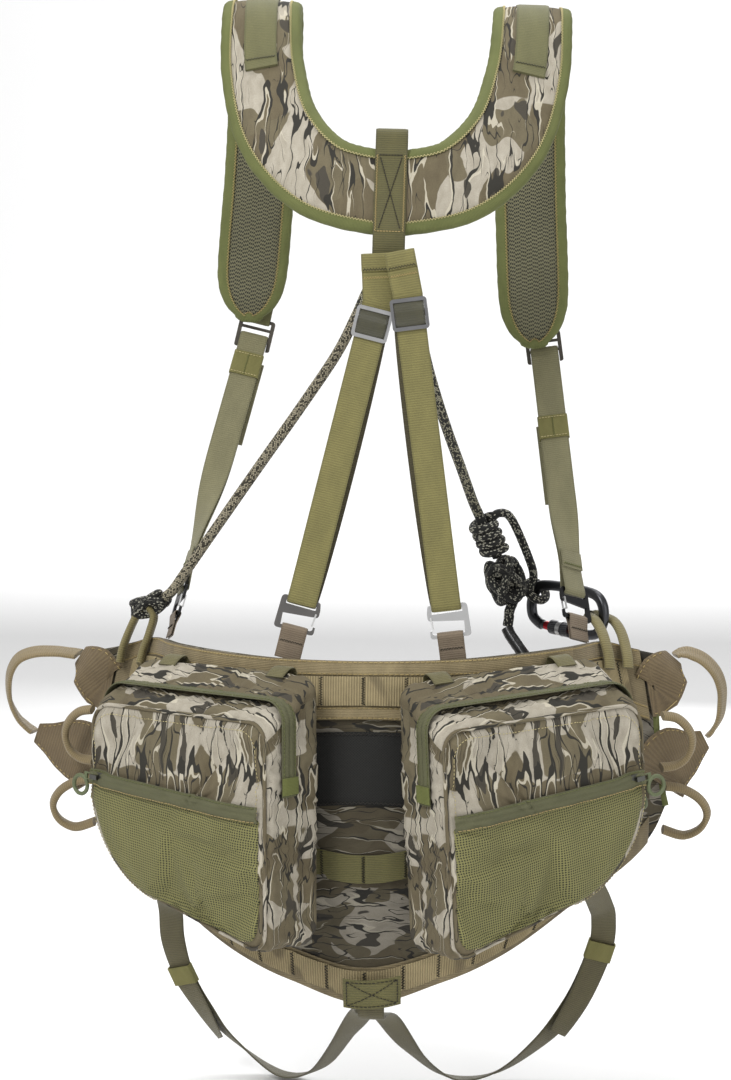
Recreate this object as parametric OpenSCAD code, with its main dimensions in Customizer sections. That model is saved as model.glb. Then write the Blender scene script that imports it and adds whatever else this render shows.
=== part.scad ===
// Tree-saddle harness: a padded shoulder yoke, two crossing back straps, a wide seat sling
// with two belt pouches, leg loops, a rope bridge and a screw-gate carabiner.
// Millimetres, +Z up, the wearer faces +Y and the origin is at the top of the shoulders.

/* [Yoke] */
// Width of the padded yoke between its bindings
yoke_w = 65; // [58:1:66]
// Thickness of the padded yoke
yoke_t = 11; // [10:0.5:13]
// Width of the binding outside the padding
binding_w = 4.5; // [3:0.5:6]
// Sideways place of the yoke over the seat
yoke_shift = 17; // [12:1:20]
// Height by which the left pad hangs above the right one
pad_lift = 17; // [0:1:20]
// Roll of the yoke, left shoulder higher
yoke_roll = 1.5; // [0:0.5:2]
// Turn of the yoke about the upright
yoke_yaw = 3; // [0:0.5:4]

/* [Webbing] */
// Width of the 25 mm webbing
web_w = 25; // [24:0.5:26]
// Thickness of one layer of webbing
web_t = 1.6; // [1.2:0.1:1.8]
// Clear gap kept round sliding parts
slide_gap = 0.3; // [0.25:0.05:0.4]

/* [Seat] */
// Height of the top belt
belt_h = 55; // [50:1:58]
// Height of the bottom belt
hem_h = 28; // [24:1:30]

/* [Pouches] */
// Half of the pouch width
pouch_half = 101; // [96:1:104]
// Depth of a pouch
pouch_d = 66; // [60:1:70]
// Upward tilt of the right pouch's outer end
pouch_roll = 3; // [0:0.5:3]

/* [Hardware] */
// Thickness of a snap hook's plate
hook_t = 2.4; // [2:0.1:2.6]
// Diameter of the carabiner's bar
bar_d = 9.5; // [9:0.1:10]
// Length of the carabiner between bar centres
carabiner_l = 92; // [90:1:96]
// Diameter of the bridge rope
rope_d = 9; // [8:0.5:10]

/* [Hidden] */

// Pin and bore radii of the small hinges
pin_r = 0.7;
bore_r = 0.76;

// ---- vectors and smooth routes ----

function unit(v) = v / norm(v);
function flip_x(p) = [-p[0], p[1], p[2]];
function reversed(list) = [for (i = [len(list) - 1 : -1 : 0]) list[i]];
function clamped(list, i) = list[max(0, min(len(list) - 1, i))];
function slice(list, from, to) = [for (i = [from : to]) list[i]];

// One point of a Catmull-Rom curve through the points
function curve_point(p, i, t) =
    let (a = clamped(p, i - 1), b = clamped(p, i), c = clamped(p, i + 1), d = clamped(p, i + 2))
    0.5 * (2 * b + (c - a) * t + (2 * a - 5 * b + 4 * c - d) * t * t + (3 * b - a - 3 * c + d) * t * t * t);
function smooth(p, steps) = concat(
    [for (i = [0 : len(p) - 2]) for (k = [0 : steps - 1]) curve_point(p, i, k / steps)],
    [p[len(p) - 1]]);

function tangents(route) = [for (i = [0 : len(route) - 1]) unit(clamped(route, i + 1) - clamped(route, i - 1))];
// Width directions of a band whose face looks along the given normals
function widths_across(route, normals) =
    let (t = tangents(route)) [for (i = [0 : len(route) - 1]) unit(cross(t[i], normals[i]))];

// ---- closed skins ----

function quad(a, b, c, d) = [[a, c, b], [a, d, c]];
// Faces of a tube of rings; each ring runs the same way round. The second half of a ring
// is split the other way, so both faces of a thin sheet fold along the same lines.
function tube_faces(rings, sides, closed) =
    let (last = closed ? rings : rings - 1)
    concat(
        [for (i = [0 : last - 1]) for (j = [0 : sides - 1])
            let (k = (j + 1) % sides, n = (i + 1) % rings,
                 q = [i * sides + j, n * sides + j, n * sides + k, i * sides + k])
            for (f = 2 * j < sides ? quad(q[0], q[1], q[2], q[3]) : quad(q[1], q[2], q[3], q[0])) f],
        closed ? [] : [for (j = [1 : sides - 2]) [0, j + 1, j]],
        closed ? [] : [for (j = [1 : sides - 2])
            [(rings - 1) * sides, (rings - 1) * sides + j, (rings - 1) * sides + j + 1]]);

module skin(rings, closed = false) {
    polyhedron(
        points = [for (ring = rings) for (p = ring) p],
        faces = tube_faces(len(rings), len(rings[0]), closed));
}

// Flat band along a route: lift is the height of its lower face above the route
module band(route, normals, width, thick, lift) {
    across = widths_across(route, normals);
    along = tangents(route);
    skin([for (i = [0 : len(route) - 1])
        let (w = is_list(width) ? width[i] : width, s = across[i], n = unit(cross(s, along[i])), p = route[i])
        [p - s * w / 2 + n * lift, p + s * w / 2 + n * lift,
         p + s * w / 2 + n * (lift + thick), p - s * w / 2 + n * (lift + thick)]]);
}

// Oval tube along a route: wide lies across the normals, high along them
module oval_tube(route, normals, wide, high, sides = 8) {
    across = widths_across(route, normals);
    along = tangents(route);
    skin([for (i = [0 : len(route) - 1])
        let (s = across[i], n = unit(cross(s, along[i])))
        [for (k = [0 : sides - 1]) let (a = 360 * (k + 0.5) / sides)
            route[i] + s * wide / 2 * cos(a) + n * high / 2 * sin(a)]]);
}

function same(v, list) = [for (p = list) v];

// Points of an arc in a plane
function arc(cx, cy, r, from, to, steps = 6) =
    [for (i = [0 : steps]) let (a = from + (to - from) * i / steps) [cx + r * cos(a), cy + r * sin(a)]];

// Plate with an outline in X and Z, centred on Y
module plate_xz(thick) {
    rotate([90, 0, 0]) translate([0, 0, -thick / 2]) linear_extrude(thick) children();
}

// Frame whose -Z axis runs from one point to another
module along_line(from, to, turn = 0) {
    d = unit(to - from);
    translate(from) rotate([asin(d[1]), atan2(-d[0], -d[2]), 0]) rotate([0, 0, turn]) children();
}

// ---- yoke ----

// Centre line of the right half: point, outward normal, width as a share of the full width
yoke_points = [
    [0, -105, -169], [57, -97, -156], [96, -68, -118], [113, -36, -66], [117, -8, -18], [117, 24, -6],
    [117, 56, -22], [118, 78, -80], [122, 88, -160], [127, 92, -240], [128.5, 92, -267], [129.5, 92, -284],
    [130, 92, -293]];
yoke_normals = [
    [0, -1, 0.3], [0.15, -1, 0.35], [0.3, -1, 0.55], [0.2, -1, 0.75], [0.05, -0.7, 1], [0, 0, 1],
    [0, 0.75, 0.75], [0, 1, 0.25], [0, 1, 0.08], [0, 1, 0], [0, 1, 0], [0, 1, 0],
    [0, 1, 0]];
yoke_shares = [1, 1, 1, 0.97, 0.92, 0.9, 0.88, 0.86, 0.84, 0.84, 0.76, 0.54, 0.26];
yoke_steps = 3;
half_route = smooth(yoke_points, yoke_steps);
half_normals = smooth(yoke_normals, yoke_steps);
half_shares = smooth([for (s = yoke_shares) [s]], yoke_steps);
function both_halves(right, left) = concat(reversed(left), slice(right, 1, len(right) - 1));
// The left pad hangs a little higher and nearer the middle than the right one
function left_pad(p) =
    let (share = p[1] > 50 ? min(1, (-22 - p[2]) / 270) : 0)
    [-p[0] + 1.5 * share, p[1], p[2] + pad_lift * share];
yoke_route = both_halves(half_route, [for (p = half_route) left_pad(p)]);
yoke_up = both_halves(half_normals, [for (p = half_normals) flip_x(p)]);
yoke_share = both_halves([for (s = half_shares) s[0]], [for (s = half_shares) s[0]]);
yoke_end = len(yoke_route) - 1;
yoke_mid = len(half_route) - 1;

module place_yoke() {
    translate([yoke_shift, 0, 0]) rotate([0, yoke_roll, yoke_yaw]) children();
}

module yoke_layer(lift, thick) {
    place_yoke() band(yoke_route, yoke_up, [for (s = yoke_share) s * yoke_w], thick, lift);
}

module yoke_shell() {
    color("#7d7258") yoke_layer(yoke_t / 2 - 3.2, 3);
}

module yoke_foam() {
    color("#c9c7bd") yoke_layer(-2.7, yoke_t / 2 - 0.8);
}

module yoke_lining() {
    color("#55563f") yoke_layer(-yoke_t / 2, 2.6);
}

// Binding tape round the whole outline
module yoke_binding() {
    across = widths_across(yoke_route, yoke_up);
    along = tangents(yoke_route);
    function rim(i, side) =
        let (s = across[i] * side, n = unit(cross(across[i], along[i])),
             e = yoke_route[i] + s * (yoke_share[i] * yoke_w / 2 + 0.2))
        [e - n * yoke_t / 2, e + s * binding_w - n * (yoke_t / 2 - 2),
         e + s * binding_w + n * (yoke_t / 2 - 2), e + n * yoke_t / 2];
    function tip(i, way) =
        let (n = unit(cross(across[i], along[i])), d = along[i] * way, e = yoke_route[i] + d * 0.6)
        [e - n * yoke_t / 2, e + d * binding_w - n * (yoke_t / 2 - 2),
         e + d * binding_w + n * (yoke_t / 2 - 2), e + n * yoke_t / 2];
    color("#6f7345") place_yoke() skin(concat(
        [for (i = [0 : yoke_end]) rim(i, 1)], [tip(yoke_end, 1)],
        [for (i = [yoke_end : -1 : 0]) rim(i, -1)], [tip(0, -1)]), closed = true);
}

// Webbing sewn over each shoulder
module shoulder_webbing() {
    color("#7c7a4c") place_yoke() {
        band(slice(yoke_route, yoke_mid + 9, yoke_mid + 17), slice(yoke_up, yoke_mid + 9, yoke_mid + 17),
            28, web_t, yoke_t / 2 + 0.4);
        band(slice(yoke_route, yoke_mid - 17, yoke_mid - 9), slice(yoke_up, yoke_mid - 17, yoke_mid - 9),
            28, web_t, yoke_t / 2 + 0.4);
    }
}

// Upright webbing of the yoke: hang loop at the top, keeper loop for the rope at the bottom
back_webbing_points = [
    [0, -92, -152], [0, -87.2, -136], [0, -84.5, -124], [0, -89, -115], [0, -97, -116], [0, -101, -130],
    [0, -106.2, -149.5], [0, -111.6, -167], [0, -117, -184.5], [0, -122.3, -203], [0, -123.4, -222],
    [0, -123, -240], [0, -121.5, -256], [0, -114, -266], [0, -106.5, -256], [0, -105.3, -240], [0, -106, -222],
    [0, -107.6, -206.5], [0, -102.8, -190]];
module yoke_back_webbing() {
    route = smooth(back_webbing_points, 3);
    along = tangents(route);
    normals = [for (t = along) cross([1, 0, 0], t)];
    color("#6d6c3f") place_yoke() band(route, normals, web_w + 2, web_t, -web_t / 2);
}

// ---- back straps, tri-glides and snap hooks ----

back_head = [[8, -127.5, -219], [28, -136, -217]];
back_top = [[9.5, -128, -258], [34.6, -137.4, -251]];
back_low = [[-54, -132, -509], [67, -129, -513]];
glide_at = [19, 17];
function strap_length(k, top, low) = norm(low[k] - top[k]);
bar_wrap = 2.1;
ply_gap = 0.3;

// Outline of doubled webbing: half is its half thickness, r its radius round the bars.
// It hangs from z = 0, where it may turn round a bar too, and turns round a bar at z = -len.
function strap_outline(len, half, r, top_bar, top) = concat(
    top_bar ? concat([[half, -16]], arc(0, 0, r, 0, 180, 8), [[-half, -16]]) : [[half, top], [-half, top]],
    [[-half, -len + 22]], arc(0, -len, r, 180, 360, 8), [[half, -len + 22]]);
module doubled_strap(len, top_bar = false) {
    rotate([90, 0, 90]) difference() {
        translate([0, 0, -web_w / 2]) linear_extrude(web_w)
            polygon(strap_outline(len, ply_gap / 2 + web_t, bar_wrap + web_t, top_bar, 0));
        translate([0, 0, -web_w / 2 - 1]) linear_extrude(web_w + 2)
            polygon(strap_outline(len, ply_gap / 2, bar_wrap, top_bar, -2));
    }
}

// Each strap is a sewn, folded head and a long straight stretch below it
module back_straps() {
    color("#7a7745") for (k = [0, 1]) {
        along_line(back_top[k], back_low[k]) doubled_strap(strap_length(k, back_top, back_low));
        along_line(back_head[k], back_top[k]) {
            translate([-web_w / 2, -web_t - 0.15, -norm(back_top[k] - back_head[k]) + 1.5])
                cube([web_w, 2 * web_t + 0.3, norm(back_top[k] - back_head[k]) - 1.5]);
            translate([-web_w / 2, -2 * web_t - 0.2, -13]) cube([web_w, web_t, 13]);
        }
    }
}

// Slide buckle round a doubled strap, centred on z = 0: its frame lies outside the strap
module tri_glide() {
    half = web_w / 2 + slide_gap;
    plate_y = -(web_t + 0.15 + slide_gap + 1.1);
    translate([0, plate_y, 0]) plate_xz(2.2) difference() {
        polygon(concat(arc(half - 0.4, 10.4, 3, 0, 90, 4), arc(-half + 0.4, 10.4, 3, 90, 180, 4),
            arc(-half + 0.4, -10.4, 3, 180, 270, 4), arc(half - 0.4, -10.4, 3, 270, 360, 4)));
        square([2 * half, 20.4], center = true);
    }
    for (s = [-1, 1])
        translate([s * (half + 1.3) - 1.3, plate_y, -3]) cube([2.6, 2 * abs(plate_y), 6]);
    translate([-half - 0.5, -plate_y - 1.1, -3]) cube([2 * half + 1, 2.2, 6]);
}

module tri_glide_left() {
    color("#5d5d5f") along_line(back_top[0], back_low[0]) translate([0, 0, -glide_at[0]]) tri_glide();
}

module tri_glide_right() {
    color("#5d5d5f") along_line(back_top[1], back_low[1]) translate([0, 0, -glide_at[1]]) tri_glide();
}

// Snap hook with its top bar at the origin; its gate hinges at the left
hook_low = -24;
hinge_x = -14.2;
hinge_z = -8;
tip_z = hook_low + 5.2;
module snap_hook() {
    plate_xz(hook_t) difference() {
        polygon(concat(
            arc(-13.6, 0.4, 2.4, 180, 90, 4), arc(14.2, -0.6, 3.4, 90, 0, 4),
            arc(15.6, hook_low + 1, 2.8, 0, -90, 4), arc(-13.6, hook_low + 0.6, 2.4, 270, 180, 4),
            [[-16, tip_z], [-14.2, tip_z], [-14.2, hook_low + 2.6], [-12.4, hook_low + 1.6],
             [13.2, hook_low + 1.6], [13.6, -12.6], [-11.4, hinge_z - 2.6]],
            arc(hinge_x, hinge_z, 2.6, -60, -180, 5), [[-16.8, -4]]));
        polygon([[-13, -1.5], [13, -1.5], [13, -4.2], [-11.8, -4.8], [-13, -4.4]]);
        translate([hinge_x, hinge_z]) circle(bore_r, $fn = 24);
    }
}

// Wire gate of a snap hook: two legs, a hinge pin and a cross bar inside the tip
module snap_gate() {
    reach = tip_z + 1.2 - hinge_z;
    leg_y = hook_t / 2 + 0.75;
    translate([hinge_x, 0, hinge_z]) {
        rotate([90, 0, 0]) cylinder(r = pin_r, h = 2 * leg_y, center = true, $fn = 24);
        for (s = [-1, 1])
            translate([0, s * leg_y, 0]) plate_xz(1.1)
                polygon([[-0.7, 0.8], [0.7, 0.8], [1.9, reach - 0.6], [0.6, reach - 0.6]]);
        translate([1.3, 0, reach]) rotate([90, 0, 0])
            cylinder(r = 0.62, h = 2 * leg_y + 1.1, center = true, $fn = 24);
    }
}

module at_back_hook(k) {
    along_line(back_top[k], back_low[k])
        translate([0, 0, -strap_length(k, back_top, back_low)])
            mirror([k == 0 ? 1 : 0, 0, 0]) children();
}

module back_hooks() {
    color("#b9bab8") for (k = [0, 1]) at_back_hook(k) snap_hook();
}

module back_gate_left() {
    color("#d5d5d2") at_back_hook(0) snap_gate();
}

module back_gate_right() {
    color("#d5d5d2") at_back_hook(1) snap_gate();
}

// ---- front straps ----

front_top = [[-120, 95, -292], [143, 108.5, -304]];
front_low = [[-174, 6, -514], [171.5, 0, -513]];
front_turn = [-75, 50];
front_flat = [96, 130];
keeper_at = [27, 77];

module at_strap(k) {
    along_line(front_top[k], front_low[k]) children();
}

// Doubled strap that is flat at the top and turned about its length lower down
module front_strap(len, flat, turn) {
    intersection() {
        doubled_strap(len, top_bar = true);
        translate([-50, -50, -flat]) cube([100, 100, flat + 10]);
    }
    route = [for (i = [0 : 12]) [0, 0, 2 - flat - (len - flat - 20) * i / 12]];
    half = web_t + ply_gap / 2 - 0.05;
    band(route, [for (i = [0 : 12]) let (a = turn * (1 - cos(15 * i)) / 2) [sin(a), -cos(a), 0]],
        web_w - 0.1, 2 * half, -half);
    rotate([0, 0, turn]) intersection() {
        doubled_strap(len);
        translate([-50, -50, -len - 10]) cube([100, 100, 34]);
    }
}

module front_straps() {
    color("#86835e") for (k = [0, 1]) at_strap(k)
        front_strap(strap_length(k, front_top, front_low), front_flat[k], front_turn[k]);
}

// Slot frame that joins a pad to its strap: the strap turns round the lower bar
lock_bar = 15.8;
module ladder_lock() {
    plate_xz(2.6) difference() {
        polygon(concat(arc(13.4, lock_bar - 1.4, 3, 0, 90, 4), arc(-13.4, lock_bar - 1.4, 3, 90, 180, 4),
            arc(-14.4, -9, 2, 180, 270, 4), arc(14.4, -9, 2, 270, 360, 4)));
        translate([-12.9, 9.6]) square([25.8, lock_bar - 11.2]);
        translate([-12.9, 1.3]) square([25.8, 5.6]);
        translate([-12.9, -12]) square([25.8, 10.7]);
    }
}

module at_lock(k) {
    d = front_low[k] - front_top[k];
    translate(front_top[k]) rotate([0, atan2(-d[0], -d[2]), 0]) children();
}

module ladder_locks() {
    color("#3a382f") for (k = [0, 1]) at_lock(k) ladder_lock();
}

// Tabs on the outer faces of the pads that hold the slot frames
module lock_tabs() {
    color("#7c7a4c") for (k = [0, 1]) at_lock(k) translate([0, 0, lock_bar]) mirror([0, 0, 1]) bar_tab(30);
}

// Elastic sleeve round a doubled strap
module strap_keeper() {
    inner_w = web_w + 2 * slide_gap;
    inner_t = 2 * web_t + 0.3 + 2 * slide_gap;
    difference() {
        translate([-inner_w / 2 - 1.3, -inner_t / 2 - 1.3, -11]) cube([inner_w + 2.6, inner_t + 2.6, 22]);
        translate([-inner_w / 2, -inner_t / 2, -12]) cube([inner_w, inner_t, 24]);
    }
}

module strap_keeper_left() {
    color("#7b7a48") at_strap(0) translate([0, 0, -keeper_at[0]]) strap_keeper();
}

module strap_keeper_right() {
    color("#7b7a48") at_strap(1) translate([0, 0, -keeper_at[1]]) strap_keeper();
}

module at_front_hook(k) {
    along_line(front_top[k], front_low[k], front_turn[k])
        translate([0, 0, -strap_length(k, front_top, front_low)])
            mirror([k == 0 ? 1 : 0, 0, 0]) children();
}

module front_hooks() {
    color("#2b2b2b") for (k = [0, 1]) at_front_hook(k) snap_hook();
}

module front_gate_left() {
    color("#8d8d8b") at_front_hook(0) snap_gate();
}

module front_gate_right() {
    color("#8d8d8b") at_front_hook(1) snap_gate();
}

// Tab of doubled webbing that turns over a bar at the origin and hangs down from it
tab_w = 22;
module bar_tab(len) {
    rotate([90, 0, 90]) difference() {
        translate([0, 0, -tab_w / 2]) linear_extrude(tab_w) polygon(concat(
            arc(0, 0, bar_wrap + 1.2, 0, 180, 8), [[-1.5, -9], [-1.5, -len], [1.5, -len], [1.5, -9]]));
        translate([0, 0, -tab_w / 2 - 1]) linear_extrude(tab_w + 2) polygon(concat(
            arc(0, 0, bar_wrap, 0, 180, 8), [[-0.15, -9], [-0.15, -len - 1], [0.15, -len - 1], [0.15, -9]]));
    }
}

// Tabs that fasten the four hooks to the belt
tab_len = [26, 24, 20, 21];
module hook_tabs() {
    color("#7d6f5b") for (k = [0, 1]) {
        at_back_hook(k) translate([0.5, 0, hook_low]) bar_tab(tab_len[k]);
        at_front_hook(k) translate([0.5, 0, hook_low]) bar_tab(tab_len[2 + k]);
    }
}

// ---- seat ----

// Right half of the seat's inner face as three rails from the centre of the back to the side
rail_top = [[0, -150, -557], [70, -138, -556], [125, -107, -554], [165, -60, -554],
    [186, -12, -556], [204, 10, -560], [226, 16, -565], [246, 18, -569]];
rail_mid = [[0, -160, -690], [66, -144, -688], [120, -110, -685], [162, -72, -680],
    [198, -38, -672], [222, -14, -662], [238, -2, -652], [244, 4, -642]];
rail_low = [[0, -140, -847], [60, -130, -831], [99, -116, -817], [134, -97, -799],
    [176, -71, -771], [216, -41, -746], [240, -16, -722], [252, -4, -700]];
seat_spans = 7;
// Point of a rail at s = -1 (left side) to 1 (right side)
function rail_point(rail, s) =
    let (u = min(abs(s), 0.9999) * seat_spans, i = floor(u), p = curve_point(
            concat([flip_x(rail[1])], rail), i + 1, u - i))
    s < 0 ? flip_x(p) : p;
// Point of the seat's inner face, v = 0 at the top edge and 1 at the bottom edge
function seat_point(s, v) =
    let (a = rail_point(rail_top, s), b = rail_point(rail_mid, s), c = rail_point(rail_low, s))
    a * (1 - v) * (1 - 2 * v) + b * 4 * v * (1 - v) + c * v * (2 * v - 1);
function seat_drop(s) = norm(rail_point(rail_low, s) - rail_point(rail_top, s));
function seat_normal(s, v) =
    let (e = 0.02, s0 = max(-1, s - e), s1 = min(1, s + e), v0 = max(0, v - e), v1 = min(1, v + e))
    unit(cross(seat_point(s, v1) - seat_point(s, v0), seat_point(s1, v) - seat_point(s0, v)));

// Patch of the seat between two stations, as a closed skin. top and bottom are distances
// in mm down from the seat's top edge, or up from its bottom edge when they are negative;
// low and high are heights above the inner face.
function seat_v(s, at) = at < 0 ? 1 + at / seat_drop(s) : at / seat_drop(s);
module seat_patch(s0, s1, top, bottom, low, high, cols, rows) {
    function at(i, j, h) =
        let (s = s0 + (s1 - s0) * i / cols, v0 = seat_v(s, top),
             v = v0 + ((bottom == 0 ? 1 : seat_v(s, bottom)) - v0) * j / rows)
        seat_point(s, v) + seat_normal(s, v) * h;
    skin([for (i = [0 : cols]) concat(
        [for (j = [0 : rows]) at(i, j, low)],
        [for (j = [rows : -1 : 0]) at(i, j, high)])]);
}

module seat_panel() {
    color("#75694f") seat_patch(-1, 1, 0, 0, 1.9, 4, 32, 6);
}

module seat_lining() {
    color("#54543f") seat_patch(-1, 1, 0, 0, 0, 1.6, 32, 6);
}

// Mesh window below the top belt
module seat_window() {
    color("#20211b") seat_patch(-0.1875, 0.1875, 72, 128, 4.9, 5.9, 6, 2);
}

module top_belt() {
    color("#8c7c5b") seat_patch(-0.875, 0.875, 0, belt_h, 5.6, 7.5, 28, 1);
}

module bottom_belt() {
    color("#857655") seat_patch(-0.8125, 0.8125, -hem_h, 0, 4.6, 6.4, 26, 1);
}

// Webbing ladders: one on each belt and a short one at the centre
module molle_rows() {
    color("#8f7f5c") {
        seat_patch(-0.75, 0.75, 15, 42, 8.3, 9.5, 24, 1);
        seat_patch(-0.6875, 0.6875, 2 - hem_h, -6, 6.8, 8, 22, 1);
        seat_patch(-0.125, 0.125, -118, -95, 4.9, 6.3, 4, 1);
    }
}

// Patch where both leg loops are sewn to the bottom belt
module centre_patch() {
    color("#6f6847") seat_patch(-0.032, 0.06, 4 - hem_h, -2, 21, 22.4, 2, 1);
}

// Tapered webbing wings that carry the lineman loops: each lies on the seat's side and
// runs on to the loop's end
wing_s = [0.9, 0.93, 0.96, 0.99];
function wing_route(side, v, ends) = concat(
    [for (s = wing_s) seat_point(side * s, v) + seat_normal(side * s, v) * 6.8], ends);
function wing_normals(side, v, ends) = concat(
    [for (s = wing_s) seat_normal(side * s, v)], [for (e = ends) seat_normal(side * 0.99, v)]);
module wing(side, v, ends, widths) {
    spread = smooth([for (w = widths) [w]], 2);
    band(smooth(wing_route(side, v, ends), 2), smooth(wing_normals(side, v, ends), 2),
        [for (w = spread) w[0]], 2.4, -1.2);
}

module side_wings() {
    color("#6c6144") {
        wing(-1, 0.2, [[-258, 8, -582], [-268, 19, -575]], [46, 46, 45, 43, 30, 19]);
        wing(1, 0.2, [[254, 7, -580], [259.5, 19, -572]], [46, 46, 45, 43, 30, 19]);
        wing(-1, 0.72, [[-262, 1, -661], [-288, 14, -653], [-309, 23, -646]], [60, 60, 58, 54, 44, 29, 18]);
        wing(1, 0.72, [[258, 1, -660], [274, 14, -653], [288, 23, -645]], [60, 60, 58, 54, 44, 29, 18]);
    }
}

// Big loops at the hips for the climbing lanyard
lineman_left = [
    [-270.5, 20, -574], [-280, 22, -573], [-293, 23, -572], [-311, 25, -573], [-326, 27, -579],
    [-334, 28, -591], [-336, 28, -605], [-334, 28, -619], [-327, 26, -632], [-319, 25, -640], [-312, 24, -645]];
lineman_right = [
    [261.5, 20, -570], [266, 21, -568], [274, 22.5, -568], [287, 25, -574], [298, 27, -586],
    [303, 28, -600], [303, 28, -614], [301, 27, -626], [296, 26, -636], [290.5, 24.5, -642.5]];
module lineman_loops() {
    color("#84744f") {
        // the webbing is nearly edge-on: its width runs front to back
        for (points = [lineman_left, lineman_right]) {
            route = smooth(points, 3);
            along = tangents(route);
            side = points[0][0] > 0 ? 1 : -1;
            band(route, [for (t = along) cross(t, [0.3 * side, 1, 0.25])], 22, 4, -2);
        }
    }
}

// Loops that carry the rope bridge
module bridge_loop(points, facing) {
    route = smooth(points, 3);
    along = tangents(route);
    color("#776c48") oval_tube(route, [for (t = along) cross(t, facing)], 11, 7);
}

module bridge_loop_left() {
    bridge_loop([[-229, -4, -578], [-227, -2, -566], [-221, 0, -550], [-214, 0, -536], [-206, 0, -529],
        [-199, -1, -536], [-202, -7, -551], [-207, -12, -566], [-209, -18, -578]], [0.25, 1, 0]);
}

// Its arch passes round the end of the carabiner
module bridge_loop_right() {
    bridge_loop([[220, -8, -578], [219, -3, -567], [214.5, 12, -551], [208, 23, -541], [199, 28, -537],
        [191.5, 23.5, -535.5], [186, 17, -535.5], [191, 6.5, -538], [196.5, -6, -546], [200, -15, -555],
        [203, -20, -566], [204, -24, -577]], [0.707, 0.707, 0]);
}

// Tubular gear loops at the hips
gear_upper = [[250, -28, -617], [263, -23, -620], [273, -21, -630], [276, -20, -642],
    [272, -20, -654], [262, -23, -661], [249, -29, -662]];
gear_lower = [[253, -14, -681], [268, -10, -684], [283, -7, -693], [290, -6, -706],
    [284, -7, -719], [269, -10, -725], [251, -15, -719]];
module accessory_loops() {
    color("#84744f") for (m = [0, 1]) for (points = [gear_upper, gear_lower]) mirror([m, 0, 0]) {
        route = smooth(points, 3);
        along = tangents(route);
        oval_tube(route, [for (t = along) cross(t, [0.3, 1, 0.35])], 11, 7);
    }
}

// ---- leg loops ----

leg_left = [
    [-179, -52, -748], [-184, -42, -766], [-186, -14, -789], [-186, 4, -804], [-186, 18, -832], [-178, 28, -865],
    [-160, 33, -895], [-133, 33, -926], [-90, 28, -955], [-54, 2, -943], [-27, -48, -902],
    [-9, -92, -871], [0, -132, -856], [3, -147, -855], [3, -153.6, -846], [3, -155.4, -828]];
leg_right = [
    [181, -52, -748], [190, -42, -766], [197, -14, -787], [200, 4, -803], [197, 18, -833], [176, 28, -882],
    [144, 33, -922], [104, 28, -950], [64, 2, -948], [35, -46, -914],
    [15, -92, -873], [8, -132, -860], [6, -150, -859], [6, -156.8, -847], [6, -158.4, -828]];
leg_left_up = [
    [0.66, 0.75, 0], [0.5, 1, 0.2], [0.3, 1, 0.5], [0.1, 1, 0.4], [0.1, 1, 0.2], [0.5, 1, 0], [0.8, 0.9, 0.4],
    [0.8, 0.4, 0.8], [0.3, 0, 1], [-0.2, 0, 1], [-0.4, 0.5, 0.8], [0, 1, 1.6], [0, 0.2, 1], [0, 0, 1],
    [0, 1, 0.6], [0, 1, 0]];
leg_right_up = [
    [-0.66, 0.75, 0], [-0.5, 1, 0.2], [-0.3, 1, 0.5], [-0.1, 1, 0.4], [-0.1, 1, 0.2], [-0.5, 1, 0],
    [-0.8, 0.7, 0.5], [-0.5, 0.2, 0.9], [0.1, 0, 1], [0.3, 0.3, 0.9], [0, 1, 1.6], [0, 0.2, 1], [0, 0, 1],
    [0, 1, 0.6], [0, 1, 0]];
module leg_loops() {
    color("#6a6340") {
        band(smooth(leg_left, 3), smooth(leg_left_up, 3), web_w - 3, 2, -1);
        band(smooth(leg_right, 3), smooth(leg_right_up, 3), web_w - 3, 2, -1);
    }
}

// ---- waist belt and buckle ----

buckle_at = [0, 114, -626];
module waist_belts() {
    route_left = smooth([[-200, 26, -592], [-182, 62, -602], [-140, 96, -614], [-84, 112, -622],
        [-56, 114, -625], [-34, 114, -626]], 3);
    route_right = [for (p = route_left) flip_x(p)];
    color("#8c7c5b") {
        band(route_left, same([-0.2, 1, 0], route_left), 38, 2.2, -1.1);
        band(route_right, same([0.2, 1, 0], route_right), 38, 2.2, -1.1);
    }
}

module at_buckle() {
    translate(buckle_at) children();
}

// Rectangle with round corners, centred
module rounded(w, h, r) {
    polygon(concat(arc(w / 2 - r, h / 2 - r, r, 0, 90, 5), arc(-w / 2 + r, h / 2 - r, r, 90, 180, 5),
        arc(-w / 2 + r, -h / 2 + r, r, 180, 270, 5), arc(w / 2 - r, -h / 2 + r, r, 270, 360, 5)));
}

// Socket half: two plates with the latches between them
module buckle_frame() {
    color("#2f3030") at_buckle() {
        for (s = [-1, 1]) translate([9, s * 4.4, 0]) plate_xz(1.6) difference() {
            rounded(46, 44, 4);
            if (s > 0) translate([18, 0]) square([5, 39], center = true);
        }
        translate([29.5, -3.6, -19.5]) cube([2.5, 7.2, 39]);
        for (z = [-21, 19]) translate([14, -3.6, z]) cube([18, 7.2, 2]);
    }
}

// Tongue half
module buckle_tongue() {
    color("#3b3c3c") at_buckle() plate_xz(2.6) difference() {
        polygon([[-33, -20], [-16, -20], [-14, -9], [12, -7], [20, -3], [20, 3], [12, 7], [-14, 9],
            [-16, 20], [-33, 20]]);
        translate([-27, 0]) square([5, 32], center = true);
    }
}

// Sprung side latch: its thumb pad stands outside the frame
module release_tab() {
    at_buckle() translate([4, 0, 0]) {
        translate([0, 0, 12.5]) plate_xz(3) polygon([[-7, -0.5], [6, -0.5], [8, 3], [8, 11.5], [-9, 11.5], [-9, 3]]);
        translate([0, 0, 25.5]) plate_xz(7) rounded(17, 3, 1.2);
    }
}

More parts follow.
